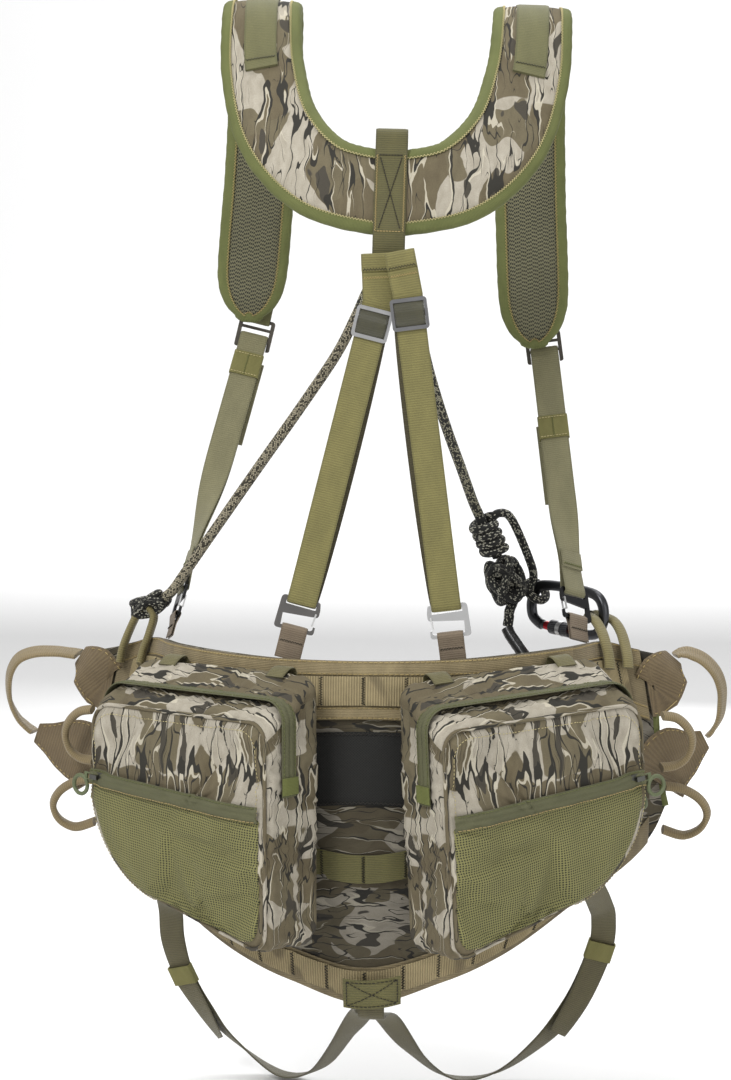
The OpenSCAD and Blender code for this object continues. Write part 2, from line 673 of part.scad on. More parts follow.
module release_tab_upper() {
    color("#8a8a86") release_tab();
}

module release_tab_lower() {
    color("#8a8a86") translate([0, 0, 2 * buckle_at[2]]) mirror([0, 0, 1]) release_tab();
}

// ---- pouches ----

pouch_turn = 36;
pouch_x = 115.9;
pouch_y = -127.4;
pouch_z = -690;
pouch_top = -563;
top_slope = 0.5;
zip_y = -40;
zip_w = 17;
function pouch_rolled(side) = side > 0 ? pouch_roll : 0;
module place_pouch(side) {
    mirror([side > 0 ? 0 : 1, 0, 0]) translate([pouch_x, pouch_y, pouch_z])
        rotate([0, -pouch_rolled(side), pouch_turn]) children();
}

// Outline of a pouch seen from behind, x outwards, z from the pouch centre;
// inset shrinks it and drop lowers its top edge
function pouch_outline(inset, drop) =
    let (h = pouch_half - inset, t = pouch_top - pouch_z - drop - inset, b = -97 + inset)
    concat(
        arc(-h + 16, t - 16, 16, 180, 90, 4),
        arc(h - 20, t - 20, 20, 90, 0, 4),
        [[h, 40]],
        arc(h - 96, 28, 96, -5, -74, 7),
        arc(-h + 14, b + 14, 14, 270, 180, 4));

module pouch() {
    rows = [[0, 7], [2, 2], [8, 0], [32, 0], [pouch_d - 10, 0], [pouch_d - 3, 2], [pouch_d, 7]];
    skin([for (r = rows) [for (p = pouch_outline(r[1], top_slope * r[0])) [p[0], -r[0], p[1]]]]);
}

module pouch_left() {
    color("#80745a") place_pouch(-1) pouch();
}

module pouch_right() {
    color("#80745a") place_pouch(1) pouch();
}

// Height of the pocket zip above the pouch centre at a place across the pouch
function pocket_edge(x) = 37 + (x + pouch_half) * 0.07;
zip_h = 11;

// Mesh pocket on the front face below its zip
module pocket_panels() {
    h = pouch_half - 9;
    color("#6f7343") for (side = [-1, 1]) place_pouch(side)
        translate([0, -pouch_d - 1.5, 0]) plate_xz(2.6) polygon(concat(
            [[-h, pocket_edge(-h) - zip_h / 2 - 20], [h, pocket_edge(h) - zip_h / 2 - 20]],
            arc(h - 90, 22, 90, -6, -74, 7), arc(-h + 12, -76, 12, 270, 180, 4)));
}

module pocket_zips() {
    h = pouch_half - 8;
    color("#5f6440") for (side = [-1, 1]) place_pouch(side)
        translate([0, -pouch_d - 1.1, -20]) plate_xz(1.8) polygon([
            [-h, pocket_edge(-h) - zip_h / 2 + 0.2], [h, pocket_edge(h) - zip_h / 2 + 0.2],
            [h, pocket_edge(h) + zip_h / 2], [-h, pocket_edge(-h) + zip_h / 2]]);
}

// Main zip over the top and down both sides of a pouch
function zip_run(y, grow) =
    let (h = pouch_half + grow, t = pouch_top - pouch_z + top_slope * y + grow)
    concat([[-h, y, 30]], [for (p = arc(-h + 16, t - 16, 16, 180, 90, 4)) [p[0], y, p[1]]],
        [for (p = arc(h - 20, t - 20, 20, 90, 0, 4)) [p[0], y, p[1]]], [[h, y, 20]]);
module main_zips() {
    near = [for (g = [0.3, 1.9]) zip_run(zip_y - zip_w / 2, g)];
    far = [for (g = [0.3, 1.9]) zip_run(zip_y + zip_w / 2, g)];
    color("#5f6440") for (side = [-1, 1]) place_pouch(side)
        skin([for (i = [0 : len(near[0]) - 1]) [near[1][i], far[1][i], far[0][i], near[0][i]]]);
}

// Webbing ties that fasten a pouch to the belt
module pouch_ties() {
    color("#6e7048") for (side = [-1, 1]) place_pouch(side) {
        for (x = [-62, 62])
            translate([x - 9, -2.6, pouch_top - pouch_z + 1.5]) cube([18, 5.6, 2]);
    }
}

// Slider on a flat zip, centred; the pull hinges on its bridge
module zip_slider() {
    translate([-5, -3.2, -4]) cube([10, 3, 8]);
    difference() {
        translate([-6.5, -6.4, -2]) cube([8, 3.4, 4]);
        translate([-4, -4.9, 0]) cylinder(r = bore_r, h = 12, center = true, $fn = 24);
    }
}

// Cord pull hinged at the origin and reaching along -X to its ring
module zip_pull(ring_at) {
    cylinder(r = pin_r, h = 6.4, center = true, $fn = 24);
    for (s = [-1, 1]) translate([-6.5, -0.7, s * 2.7 - 0.5]) cube([7.4, 1.4, 1]);
    translate([-9.5, -0.7, -3.2]) cube([3.2, 1.4, 6.4]);
    translate(ring_at) rotate([90, 0, 0]) rotate_extrude($fn = 32)
        translate([8, 0]) circle(1.7, $fn = 16);
}

// Ring centres: the pocket pull droops beside its slider, the main pull hangs straight
pocket_ring = [-14, 0, -9];
main_ring = [-17.5, 0, 0];

slider_rest = pouch_half - 14;
module at_pocket_slider(side) {
    place_pouch(side) translate([slider_rest, -pouch_d - 2.2, pocket_edge(slider_rest) - 20])
        rotate([0, -4, 0]) mirror([1, 0, 0]) children();
}

module at_pocket_pull(side) {
    at_pocket_slider(side) translate([-4, -4.9, 0]) children();
}

module at_main_slider(side) {
    place_pouch(side) translate([pouch_half + 2, zip_y, 26]) rotate([0, 0, 90]) rotate([0, -90, 0]) children();
}

module at_main_pull(side) {
    at_main_slider(side) translate([-4, -4.9, 0]) rotate([0, 0, 15]) children();
}

module pocket_slider_left() {
    color("#4a4b44") at_pocket_slider(-1) zip_slider();
}

module pocket_slider_right() {
    color("#4a4b44") at_pocket_slider(1) zip_slider();
}

module main_slider_left() {
    color("#4a4b44") at_main_slider(-1) zip_slider();
}

module main_slider_right() {
    color("#4a4b44") at_main_slider(1) zip_slider();
}

module pocket_pull_left() {
    color("#5d6343") at_pocket_pull(-1) zip_pull(pocket_ring);
}

module pocket_pull_right() {
    color("#5d6343") at_pocket_pull(1) zip_pull(pocket_ring);
}

module main_pull_left() {
    color("#5d6343") at_main_pull(-1) zip_pull(main_ring);
}

module main_pull_right() {
    color("#5d6343") at_main_pull(1) zip_pull(main_ring);
}

// ---- rope bridge ----

// Route of the bridge rope from the knot on the left loop, through the keeper loop
// behind the yoke webbing, to the friction hitch on the right
rope_route = [
    [-188, -4, -519], [-181, -8.5, -513], [-168, -14, -495], [-140, -26, -456], [-100, -46, -401], [-60, -70, -347],
    [-28, -92, -302], [-10, -107, -269], [-0.5, -113.2, -249], [7.5, -114.6, -239.5], [17, -114.6, -236.5],
    [26.5, -114.6, -239.5], [33.5, -112.6, -249], [41, -101, -275], [49, -74, -317], [61, -32, -365],
    [73, 10, -406], [81, 38, -434], [86, 52, -448]];

module rope_tube(points, d, sides, steps) {
    route = smooth(points, steps);
    oval_tube(route, same([0.1, -1, 0.2], route), d, d, sides);
}

module bridge_rope() {
    color("#3c3b36") rope_tube(rope_route, rope_d, 8, 2);
}

// Knot pulled tight round the left loop
module bridge_knot() {
    color("#34332e") translate([-204, 2, -527]) rotate([0, 68, 0]) {
        cylinder(r = 12, h = 14, center = true, $fn = 32);
        for (s = [-1, 1]) translate([0, 0, s * 7]) sphere(r = 12, $fn = 32);
    }
}

hitch_top = [86, 52, -448];
hitch_mid = [104, 60, -490];
hitch_low = [115.2, 65.5, -524];
module friction_hitch() {
    color("#34332e") {
        // wraps of the hitch
        along_line(hitch_top, hitch_mid) translate([0, 0, -23]) cylinder(r = 15, h = 30, center = true, $fn = 32);
        // stopper knot under the hitch
        along_line(hitch_mid, hitch_low) translate([0, 0, -24]) {
            cylinder(r = 19, h = 34, center = true, $fn = 32);
            translate([0, 0, -17]) sphere(r = 15, $fn = 32);
        }
        // tail that leaves the knot
        along_line([114, 64.5, -536], [112.5, 61.5, -549]) translate([0, 0, -13])
            cylinder(d = rope_d, h = 13, $fn = 32);
        // eye that holds the carabiner
        translate([137.5, 76.5, -519.5]) rotate([0, 50, -45]) rotate_extrude($fn = 48)
            translate([10, 0]) circle(4.2, $fn = 16);
    }
}

module rope_sleeve() {
    color("#262622") rope_tube([[112, 60.5, -552], [114.5, 58, -557], [119, 54, -563], [126, 48, -572],
        [137, 42, -586]], 11, 8, 3);
}

// ---- carabiner ----

carabiner_at = [166, 48, -533];
carabiner_turn = [0, 4, -45];
end_x = carabiner_l / 2;
gate_from = -26;
gate_to = 24;
spine_z = 18.5;
gate_z = -18.5;
module place_carabiner() {
    translate(carabiner_at) rotate(carabiner_turn) children();
}

// C-shaped body open on its lower side, between the gate's nose and hinge
frame_points = [
    [gate_from - 5, gate_z], [-end_x + 10, gate_z + 1.5], [-end_x + 2.5, -12], [-end_x, -2], [-end_x + 2.5, 8],
    [-end_x + 10, 16], [-22, spine_z], [0, spine_z + 1], [22, spine_z + 1], [end_x - 10, 17.5],
    [end_x - 2.5, 11], [end_x, 1], [end_x - 2, -9], [end_x - 8, -16], [end_x - 17, gate_z],
    [gate_to + 2.7, gate_z]];
module carabiner_frame() {
    route = smooth([for (p = frame_points) [p[0], 0, p[1]]], 2);
    color("#454648") place_carabiner() difference() {
        union() {
            oval_tube(route, same([0, 1, 0], route), bar_d, bar_d, 12);
            // spigot that the locked sleeve covers
            translate([gate_from - 6, 0, gate_z]) rotate([0, 90, 0]) cylinder(d = 7.6, h = 5.6, $fn = 32);
        }
        // slot that takes the hinge end of the gate
        translate([gate_to, -2.2, gate_z - 8]) cube([11, 4.4, 14.5]);
        translate([gate_to + 6, 0, gate_z]) rotate([90, 0, 0])
            cylinder(r = 1.05, h = 14, center = true, $fn = 24);
        // seat of the nose
        translate([gate_from - 6, -1.9, gate_z - 8]) cube([8, 3.8, 16]);
    }
}

// Gate: a bar with a nose lug and a flat hinge end; it swings into the body
module carabiner_gate() {
    color("#9b2a2e") place_carabiner() difference() {
        union() {
            translate([gate_from + 0.4, 0, gate_z]) rotate([0, 90, 0])
                cylinder(d = 8, h = gate_to - gate_from - 0.4, $fn = 32);
            translate([gate_to - 0.5, -2, gate_z - 3]) cube([5, 4, 6]);
            translate([gate_to + 6, 0, gate_z]) rotate([90, 0, 0])
                cylinder(r = 3.6, h = 4, center = true, $fn = 32);
            translate([gate_from - 5, -1.6, gate_z - 2]) cube([6, 3.2, 4]);
            translate([gate_to + 6, 0, gate_z]) rotate([90, 0, 0])
                cylinder(r = 1, h = 9, center = true, $fn = 24);
        }
    }
}

sleeve_at = -6;
sleeve_len = 24;
module carabiner_sleeve() {
    color("#77787a") place_carabiner() translate([sleeve_at, 0, gate_z]) rotate([0, 90, 0]) difference() {
        cylinder(d = 13, h = sleeve_len, center = true, $fn = 32);
        cylinder(d = 8.1, h = sleeve_len + 2, center = true, $fn = 32);
    }
}

yoke_shell();
yoke_foam();
yoke_lining();
yoke_binding();
shoulder_webbing();
yoke_back_webbing();
back_straps();
tri_glide_left();
tri_glide_right();
back_hooks();
back_gate_left();
back_gate_right();
front_straps();
ladder_locks();
lock_tabs();
strap_keeper_left();
strap_keeper_right();
front_hooks();
front_gate_left();
front_gate_right();
hook_tabs();
seat_panel();
seat_lining();
seat_window();
top_belt();
bottom_belt();
molle_rows();
centre_patch();
side_wings();
lineman_loops();
bridge_loop_left();
bridge_loop_right();
accessory_loops();
leg_loops();
waist_belts();
buckle_frame();
buckle_tongue();
release_tab_lower();
release_tab_upper();
pouch_left();
pouch_right();
pocket_panels();
pocket_zips();
main_zips();
pouch_ties();
pocket_slider_left();
pocket_slider_right();
main_slider_left();
main_slider_right();
pocket_pull_left();
pocket_pull_right();
main_pull_left();
main_pull_right();
bridge_rope();
bridge_knot();
friction_hitch();
rope_sleeve();
carabiner_frame();
carabiner_gate();
carabiner_sleeve();
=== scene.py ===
"""Tree-saddle harness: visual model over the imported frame. Points are in mm, meshes in metres."""
import math

import bpy
import numpy as np
from mathutils import Matrix, Vector, noise
from mathutils.bvhtree import BVHTree


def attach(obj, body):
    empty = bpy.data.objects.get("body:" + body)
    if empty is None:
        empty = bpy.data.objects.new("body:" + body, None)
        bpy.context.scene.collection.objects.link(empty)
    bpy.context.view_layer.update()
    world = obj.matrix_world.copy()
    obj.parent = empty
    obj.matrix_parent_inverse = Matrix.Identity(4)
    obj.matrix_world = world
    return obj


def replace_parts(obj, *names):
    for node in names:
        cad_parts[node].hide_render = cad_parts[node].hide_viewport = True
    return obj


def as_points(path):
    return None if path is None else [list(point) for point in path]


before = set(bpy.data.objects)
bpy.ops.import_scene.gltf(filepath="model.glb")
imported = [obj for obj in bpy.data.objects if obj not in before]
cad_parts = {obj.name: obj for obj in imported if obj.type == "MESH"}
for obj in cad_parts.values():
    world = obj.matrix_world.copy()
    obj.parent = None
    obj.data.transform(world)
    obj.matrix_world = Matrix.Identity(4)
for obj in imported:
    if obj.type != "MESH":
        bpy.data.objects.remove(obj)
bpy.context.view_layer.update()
scene = bpy.context.scene
MM = 0.001


# ---------- camera ---------------------------

def make_camera():
    turn, tilt, reach = math.radians(4.5), math.radians(4.87), 2.7
    aim = Vector((-0.011, 0, -0.468))
    back = Vector((math.sin(turn) * math.cos(tilt), -math.cos(turn) * math.cos(tilt), math.sin(tilt)))
    data = bpy.data.cameras.new("camera")
    data.sensor_fit = "VERTICAL"
    data.sensor_width = data.sensor_height = 36
    data.lens = 3080 * 36 / 1080
    data.clip_start, data.clip_end = 0.1, 20
    camera = bpy.data.objects.new("camera", data)
    scene.collection.objects.link(camera)
    camera.location = aim + back * reach / math.cos(tilt)
    camera.rotation_mode = "QUATERNION"
    camera.rotation_quaternion = (-back).to_track_quat("-Z", "Y")
    scene.camera = camera


make_camera()


# ---------- numbers ----------

def arr(points):
    return np.array(points, float)


def unit(v):
    v = arr(v)
    return v / np.maximum(np.linalg.norm(v, axis=-1, keepdims=True), 1e-9)


def run_of(points):
    """Distance run at each point of a polyline."""
    return np.concatenate([[0], np.cumsum(np.linalg.norm(np.diff(arr(points), axis=0), axis=1))])


def smooth(points, steps):
    """Catmull-Rom curve through the points, as in the part's source."""
    p = arr(points)
    at = lambda i: p[max(0, min(len(p) - 1, i))]
    out = []
    for i in range(len(p) - 1):
        a, b, c, d = at(i - 1), at(i), at(i + 1), at(i + 2)
        for k in range(steps):
            t = k / steps
            out.append(0.5 * (2 * b + (c - a) * t + (2 * a - 5 * b + 4 * c - d) * t * t
                              + (3 * b - a - 3 * c + d) * t ** 3))
    return arr(out + [p[-1]])


def rot(x=0, y=0, z=0):
    """Rotation by degrees about X, then Y, then Z."""
    return arr(Matrix.Rotation(math.radians(z), 3, "Z") @ Matrix.Rotation(math.radians(y), 3, "Y")
               @ Matrix.Rotation(math.radians(x), 3, "X"))


class Place:
    """A rigid placement: p -> r p + t."""

    def __init__(self, r=None, t=(0, 0, 0)):
        self.r = np.eye(3) if r is None else arr(r)
        self.t = arr(t)

    def __call__(self, p):
        return arr(p) @ self.r.T + self.t

    def way(self, v):
        return arr(v) @ self.r.T

    def then(self, r=None, t=(0, 0, 0)):
        inner = Place(r, t)
        return Place(self.r @ inner.r, self(inner.t))


def along_line(start, end, turn=0):
    d = unit(arr(end) - arr(start))
    return Place(rot(x=math.degrees(math.asin(d[1])), y=math.degrees(math.atan2(-d[0], -d[2]))) @ rot(z=turn),
                 start)


def wobble(x, y=0.0, z=0.0):
    return noise.noise(Vector((x, y, z)))


class Band:
    """A route with its sideways and outward directions, measured along its length."""

    def __init__(self, route, normals):
        self.p = arr(route)
        t = np.empty_like(self.p)
        t[1:-1] = self.p[2:] - self.p[:-2]
        t[0], t[-1] = self.p[1] - self.p[0], self.p[-1] - self.p[-2]
        self.t = unit(t)
        self.s = unit(np.cross(self.t, arr(normals)))
        self.n = unit(np.cross(self.s, self.t))
        self.l = run_of(self.p)
        self.length = self.l[-1]

    def pick(self, rows, v):
        if np.ndim(v):
            return arr([np.interp(v, self.l, rows[:, k]) for k in range(3)]).T
        i = min(max(int(np.searchsorted(self.l, v)), 1), len(self.l) - 1)
        f = min(max((v - self.l[i - 1]) / max(self.l[i] - self.l[i - 1], 1e-9), 0.0), 1.0)
        return rows[i - 1] * (1 - f) + rows[i] * f

    def at(self, u, v, h=0.0):
        return self.pick(self.p, v) + self.pick(self.s, v) * u + self.pick(self.n, v) * h

    def again(self, step):
        """The same band with even steps along it."""
        v = np.linspace(0, self.length, max(2, int(round(self.length / step)) + 1))
        return Band(self.pick(self.p, v), self.pick(self.n, v))


# ---------- meshes ----------

def new_object(name, points, faces, uvs, material, body="harness", sharp=50):
    """One piece: points in mm, one (u, v) in mm for each point. Its material's name is looked up in SLOTS."""
    mesh = bpy.data.meshes.new(name)
    mesh.from_pydata([tuple(p) for p in arr(points) * MM], [], faces)
    layer = mesh.uv_layers.new(name="UVMap")
    layer.data.foreach_set("uv", (arr([uvs[i] for f in faces for i in f]) * MM).ravel())
    mesh.polygons.foreach_set("use_smooth", [True] * len(mesh.polygons))
    mesh.set_sharp_from_angle(angle=math.radians(sharp))
    mesh.materials.append(material)
    mesh.validate()
    mesh.update()
    obj = bpy.data.objects.new(name, mesh)
    scene.collection.objects.link(obj)
    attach(obj, body)
    SLOTS[material.name.split(".")[0]]
    return obj


def slab(name, top, bottom, uv, material, body="harness", sharp=50):
    """Closed sheet between two grids of points."""
    n, m = top.shape[:2]
    points = np.concatenate([top.reshape(-1, 3), bottom.reshape(-1, 3)])
    uvs = np.concatenate([uv.reshape(-1, 2)] * 2)
    a = lambda i, j: i * m + j
    b = lambda i, j: n * m + i * m + j
    faces = []
    for i in range(n - 1):
        for j in range(m - 1):
            faces.append((a(i, j), a(i + 1, j), a(i + 1, j + 1), a(i, j + 1)))
            faces.append((b(i, j), b(i, j + 1), b(i + 1, j + 1), b(i + 1, j)))
        faces.append((a(i, 0), b(i, 0), b(i + 1, 0), a(i + 1, 0)))
        faces.append((a(i, m - 1), a(i + 1, m - 1), b(i + 1, m - 1), b(i, m - 1)))
    for j in range(m - 1):
        faces.append((a(0, j), a(0, j + 1), b(0, j + 1), b(0, j)))
        faces.append((a(n - 1, j), b(n - 1, j), b(n - 1, j + 1), a(n - 1, j + 1)))
    return new_object(name, points, faces, uvs, material, body, sharp)


def ribbon(name, band, width, thick, lift, material, body="harness", step=4, cols=8, rise=None, crown=0.0,
           life=0.25):
    """Webbing on a band: lift is the height of its lower face; rise(u, v) adds to both faces."""
    band = band.again(step) if step else band
    v = band.l
    width = list(width) if hasattr(width, "__len__") else [width, width]
    w = np.interp(v, np.linspace(0, band.length, len(width)), width)
    share = -np.cos(np.linspace(0, math.pi, cols + 1)) * 0.35 + np.linspace(-1, 1, cols + 1) * 0.65
    top = np.empty((len(v), cols + 1, 3))
    low = np.empty_like(top)
    uv = np.empty((len(v), cols + 1, 2))
    for i in range(len(v)):
        for j in range(cols + 1):
            u = share[j] * w[i] / 2
            edge = 0.42 if j in (0, cols) else 1.0
            h = lift + thick / 2 + (rise(u, v[i]) if rise else 0) + crown * (1 - share[j] ** 2)
            h += life * wobble(v[i] * 0.03, u * 0.03, lift)
            top[i, j] = band.p[i] + band.s[i] * u + band.n[i] * (h + thick / 2 * edge)
            low[i, j] = band.p[i] + band.s[i] * u + band.n[i] * (h - thick / 2 * edge)
            uv[i, j] = (u, v[i])
    return slab(name, top, low, uv, material, body)


def tube_mesh(band, wide, high, sides=16, shape=None, step=None):
    """Points, faces and uvs of a tube; shape(angle, v) scales its radius."""
    band = band.again(step) if step else band
    points, uvs, faces = [], [], []
    angles = [2 * math.pi * k / sides for k in range(sides)]
    for i, v in enumerate(band.l):
        for a in angles:
            r = shape(a, v) if shape else 1.0
            points.append(band.p[i] + band.s[i] * wide / 2 * math.cos(a) * r
                          + band.n[i] * high / 2 * math.sin(a) * r)
            uvs.append((a * (wide + high) / 4, v))
    n = len(band.l)
    for i in range(n - 1):
        for k in range(sides):
            q = (k + 1) % sides
            faces.append((i * sides + k, i * sides + q, (i + 1) * sides + q, (i + 1) * sides + k))
    faces.append(tuple(range(sides - 1, -1, -1)))
    faces.append(tuple((n - 1) * sides + k for k in range(sides)))
    return points, faces, uvs


def tube(name, band, wide, high, material, body="harness", sides=16, shape=None, step=None):
    points, faces, uvs = tube_mesh(band, wide, high, sides, shape, step)
    return new_object(name, points, faces, uvs, material, body)


def steady(route, start=(0.1, -1, 0.2)):
    """Normals carried along a route without twist."""
    p = arr(route)
    n, out = unit(start), []
    for i in range(len(p)):
        t = unit(p[min(i + 1, len(p) - 1)] - p[max(i - 1, 0)])
        n = unit(n - t * np.dot(n, t))
        out.append(n)
    return arr(out)


threads = {}


def thread(colour, points, r=0.38, body="harness"):
    points = arr(points)
    if len(points) < 2:
        return
    band = Band(points, steady(points, (0.31, 0.52, 0.79)))
    threads.setdefault((colour, body), []).append(tube_mesh(band, 2 * r, 2 * r, 5))


def stitch(colour, surface, start, end, pitch=3.6, wide=0.0, r=0.38, body="harness", fill=0.74):
    """A seam on surface(u, v) -> point: single stitches, or a zigzag when wide is set."""
    start, end = arr(start), arr(end)
    length = np.linalg.norm(end - start)
    way = (end - start) / max(length, 1e-9)
    side = arr([-way[1], way[0]])
    count = max(1, int(round(length / pitch)))
    step = length / count
    if wide:
        pts = [surface(*(start + way * step * k / 2 + side * wide / 2 * (1 if k % 2 else -1)))
               for k in range(2 * count + 1)]
        thread(colour, pts, r, body)
        return
    for k in range(count):
        a, b = start + way * step * k, start + way * step * (k + fill)
        thread(colour, [surface(*a), surface(*b)], r, body)


def merged(runs):
    """Points, faces and uvs of several tubes in one mesh."""
    points, faces, uvs = [], [], []
    for p, f, t in runs:
        base = len(points)
        points += list(p)
        uvs += list(t)
        faces += [tuple(base + i for i in face) for face in f]
    return points, faces, uvs


def sew_up():
    """Gathers the stitches of one colour on one body into one piece."""
    for (colour, body), runs in threads.items():
        name = "stitching_" + colour + ("" if body == "harness" else "_" + body)
        new_object(name, *merged(runs), THREADS[colour], body, sharp=180)


# ---------- shaders ----------

SETTINGS = ("operation", "blend_type", "interpolation_type", "bands_direction")


class Nodes:
    """Small helper that adds and links shader nodes."""

    def __init__(self, name, rough=0.85, metal=0.0):
        self.material = bpy.data.materials.new(name)
        self.material.use_nodes = True
        self.tree = self.material.node_tree
        self.bsdf = self.tree.nodes["Principled BSDF"]
        self.bsdf.inputs["Roughness"].default_value = rough
        self.bsdf.inputs["Metallic"].default_value = metal

    def add(self, kind, **inputs):
        node = self.tree.nodes.new("ShaderNode" + kind)
        for key, value in inputs.items():
            if key in SETTINGS:
                setattr(node, key, value)
                continue
            index = key[0] == "i" and key[1:].isdigit()
            slot = node.inputs[int(key[1:]) if index else key.replace("_", " ")]
            if isinstance(value, bpy.types.NodeSocket):
                self.tree.links.new(value, slot)
            else:
                slot.default_value = value
        return node

    def math(self, operation, a, b=0.0, c=0.0, clamp=False):
        node = self.add("Math", operation=operation, i0=a, i1=b, i2=c)
        node.use_clamp = clamp
        return node.outputs[0]

    def coords(self, kind="UV"):
        return self.tree.nodes.new("ShaderNodeTexCoord").outputs[kind]

    def scaled(self, vector, scale, shift=(0, 0, 0), turn=0.0):
        node = self.add("Mapping", Vector=vector, Scale=scale, Location=shift, Rotation=(0, 0, turn))
        return node.outputs[0]

    def noise(self, vector, scale, detail=2.0, rough=0.5, distortion=0.0):
        return self.add("TexNoise", Vector=vector, Scale=scale, Detail=detail, Roughness=rough,
                        Distortion=distortion).outputs["Fac"]

    def split(self, vector):
        node = self.add("SeparateXYZ", Vector=vector)
        return node.outputs[0], node.outputs[1], node.outputs[2]

    def join(self, x, y, z=0.0):
        return self.add("CombineXYZ", X=x, Y=y, Z=z).outputs[0]

    def step(self, value, low, high):
        """0 below low, 1 above high."""
        return self.add("MapRange", interpolation_type="SMOOTHSTEP", Value=value, From_Min=low,
                        From_Max=high).outputs[0]

    def mix(self, factor, a, b, blend="MIX"):
        node = self.add("MixRGB", blend_type=blend, Fac=factor)
        for key, value in (("Color1", a), ("Color2", b)):
            if isinstance(value, bpy.types.NodeSocket):
                self.tree.links.new(value, node.inputs[key])
            else:
                node.inputs[key].default_value = (*value, 1)
        return node.outputs[0]

    def done(self, colour, height=None, strength=0.4, depth=0.0006, rough=None):
        if isinstance(colour, bpy.types.NodeSocket):
            self.tree.links.new(colour, self.bsdf.inputs["Base Color"])
        else:
            self.bsdf.inputs["Base Color"].default_value = (*colour, 1)
        if height is not None:
            bump = self.add("Bump", Strength=strength, Distance=depth, Height=height)
            self.tree.links.new(bump.outputs[0], self.bsdf.inputs["Normal"])
        if rough is not None:
            self.tree.links.new(rough, self.bsdf.inputs["Roughness"])
        return self.material


def srgb(r, g, b):
    f = lambda c: c / 12.92 if c <= 0.04045 else ((c + 0.055) / 1.055) ** 2.4
    return (f(r), f(g), f(b))


def camo(name, turn=0.0, dark=1.0, grow=1.0):
    """Generic printed bark: pale ground, brown blotches, charcoal patches and thin wavy upright lines."""
    k = Nodes(name, rough=0.88)
    uv = k.scaled(k.coords("UV"), (1 / grow, 1 / grow, 1), (0.37, 0.11, 0), turn)
    bend = k.noise(k.scaled(uv, (30, 34, 1)), 1.0, 2.0)
    x, y, _ = k.split(uv)
    x = k.math("ADD", x, k.math("MULTIPLY", k.math("SUBTRACT", bend, 0.5), 0.012))
    at = k.join(x, y)
    blot = k.noise(k.scaled(at, (25, 13, 1)), 1.0, 0.3)
    blot2 = k.noise(k.scaled(at, (33, 20, 1), (5.3, 8.1, 0)), 1.0, 0.2)
    coal = k.noise(k.scaled(at, (85, 24, 1), (3.1, 1.7, 0)), 1.0, 0.4)
    line = k.noise(k.scaled(at, (84, 10, 1), (9.2, 2.4, 0)), 1.0, 0.8)
    line2 = k.noise(k.scaled(at, (105, 17, 1), (1.2, 7.4, 0)), 1.0, 1.0)
    gate = k.noise(k.scaled(at, (26, 24, 1), (4.4, 6.6, 0)), 1.0, 1.0)
    tone = k.noise(k.scaled(at, (160, 60, 1)), 1.0, 4.0)
    ground = k.mix(tone, srgb(0.56, 0.53, 0.46), srgb(0.78, 0.75, 0.69))
    brown = k.mix(tone, srgb(0.34, 0.30, 0.22), srgb(0.46, 0.42, 0.32))
    brown2 = k.mix(tone, srgb(0.36, 0.33, 0.25), srgb(0.48, 0.44, 0.34))
    colour = k.mix(k.step(blot, 0.50, 0.508), ground, brown)
    colour = k.mix(k.step(blot2, 0.585, 0.593), colour, brown2)
    thick = k.math("MULTIPLY", k.math("SUBTRACT", gate, 0.36), 0.10, clamp=True)
    far = k.math("ABSOLUTE", k.math("SUBTRACT", line, 0.5))
    lines = k.step(k.math("SUBTRACT", thick, far), 0.0, 0.004)
    far2 = k.math("ABSOLUTE", k.math("SUBTRACT", line2, 0.52))
    thick2 = k.math("MULTIPLY", k.math("SUBTRACT", 0.60, gate), 0.085, clamp=True)
    lines2 = k.step(k.math("SUBTRACT", thick2, far2), 0.0, 0.004)
    pale = k.step(k.math("SUBTRACT", k.math("MULTIPLY", thick, 0.8),
                         k.math("ABSOLUTE", k.math("SUBTRACT", line, 0.535))), 0, 0.003)
    colour = k.mix(k.math("MULTIPLY", pale, 0.8), colour, srgb(0.80, 0.77, 0.69))
    colour = k.mix(k.step(coal, 0.665, 0.677), colour, srgb(0.27, 0.25, 0.21))
    colour = k.mix(k.math("MAXIMUM", lines, lines2), colour, srgb(0.17, 0.16, 0.13))
    if dark != 1.0:
        colour = k.mix(1.0, colour, (dark, dark, dark), "MULTIPLY")
    weave_u = k.add("TexWave", Vector=k.coords("UV"), Scale=520.0, bands_direction="X").outputs["Fac"]
    weave_v = k.add("TexWave", Vector=k.coords("UV"), Scale=520.0, bands_direction="Y").outputs["Fac"]
    grain = k.noise(k.coords("UV"), 900.0, 3.0)
    height = k.math("ADD", k.math("MULTIPLY", weave_u, weave_v), k.math("MULTIPLY", grain, 1.3))
    colour = k.mix(k.math("MULTIPLY", grain, 0.35), colour, (0.02, 0.018, 0.014), "MULTIPLY")
    return k.done(colour, height, 0.35, 0.0004)


